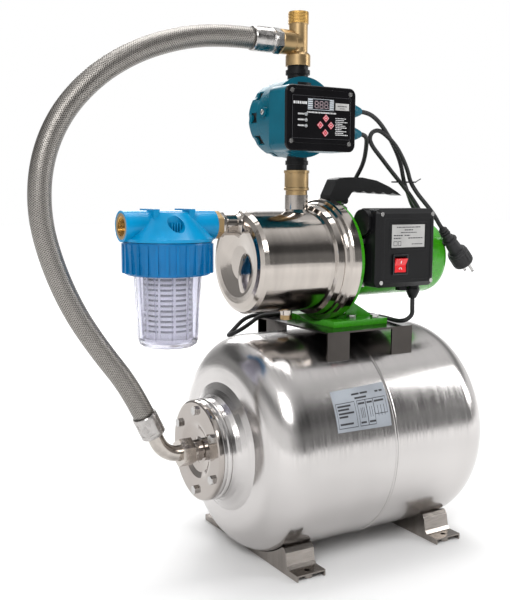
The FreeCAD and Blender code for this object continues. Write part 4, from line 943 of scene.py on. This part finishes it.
def dark_patch(tree, generated, direction, start, end, low):
    """Factor that falls from one to low where the surroundings face the direction."""
    facing = tree.nodes.new("ShaderNodeVectorMath")
    facing.operation = "DOT_PRODUCT"
    facing.inputs[1].default_value = direction
    tree.links.new(generated, facing.inputs[0])
    level = tree.nodes.new("ShaderNodeMapRange")
    for key, value in (("From Min", start), ("From Max", end), ("To Min", 1.0), ("To Max", low)):
        level.inputs[key].default_value = value
    tree.links.new(facing.outputs["Value"], level.inputs["Value"])
    return level.outputs["Result"]


def add_world():
    """White to the camera; the metal sees bands by height, darkened by two patches."""
    world = bpy.data.worlds.new("studio")
    bpy.context.scene.world = world
    world.use_nodes = True
    tree = world.node_tree
    background = tree.nodes["Background"]
    coords = tree.nodes.new("ShaderNodeTexCoord")
    split = tree.nodes.new("ShaderNodeSeparateXYZ")
    ramp = tree.nodes.new("ShaderNodeValToRGB")
    stops = ramp.color_ramp.elements
    levels = [(0.0, 1.0), (0.24, 1.0), (0.36, 0.34), (0.52, 0.22), (0.66, 0.75), (0.82, 0.95), (1.0, 0.55)]
    while len(stops) < len(levels):
        stops.new(0.5)
    for stop, (place, level) in zip(stops, levels):
        stop.position = place
        stop.color = (level, level, level, 1)
    generated = coords.outputs["Generated"]
    tree.links.new(generated, split.inputs["Vector"])
    tree.links.new(split.outputs["Z"], ramp.inputs["Fac"])
    both = tree.nodes.new("ShaderNodeMath")
    both.operation = "MULTIPLY"
    tree.links.new(dark_patch(tree, generated, (0.35, -0.93, 0.0), 0.35, 0.85, 0.24), both.inputs[0])
    tree.links.new(dark_patch(tree, generated, (-0.5, 0.86, 0.1), 0.6, 0.95, 0.35), both.inputs[1])
    dim = tree.nodes.new("ShaderNodeVectorMath")
    dim.operation = "SCALE"
    tree.links.new(ramp.outputs["Color"], dim.inputs[0])
    tree.links.new(both.outputs["Value"], dim.inputs["Scale"])
    seen = tree.nodes.new("ShaderNodeLightPath")
    white = tree.nodes.new("ShaderNodeMix")
    white.data_type = "RGBA"
    tree.links.new(seen.outputs["Is Camera Ray"], white.inputs[0])
    tree.links.new(dim.outputs["Vector"], white.inputs[6])
    white.inputs[7].default_value = (1.0, 1.0, 1.0, 1.0)
    tree.links.new(white.outputs[2], background.inputs["Color"])
    background.inputs["Strength"].default_value = 1.0


def add_studio():
    add_floor()
    bpy.context.scene.view_settings.view_transform = "Standard"
    add_world()
    add_area("key", (-1.7, -1.9, 2.2), (-0.1, 0, 0.45), (1.1, 1.1), 42)
    add_area("side", (2.3, -1.3, 1.5), (0, 0, 0.45), (0.6, 1.6), 22)
    add_area("top", (0.2, 0.4, 2.7), (0, 0, 0.4), (1.8, 1.2), 36)
    add_area("back", (0.6, 2.4, 1.8), (0, 0, 0.5), (1.4, 1.0), 26)


add_studio()
bpy.context.view_layer.update()
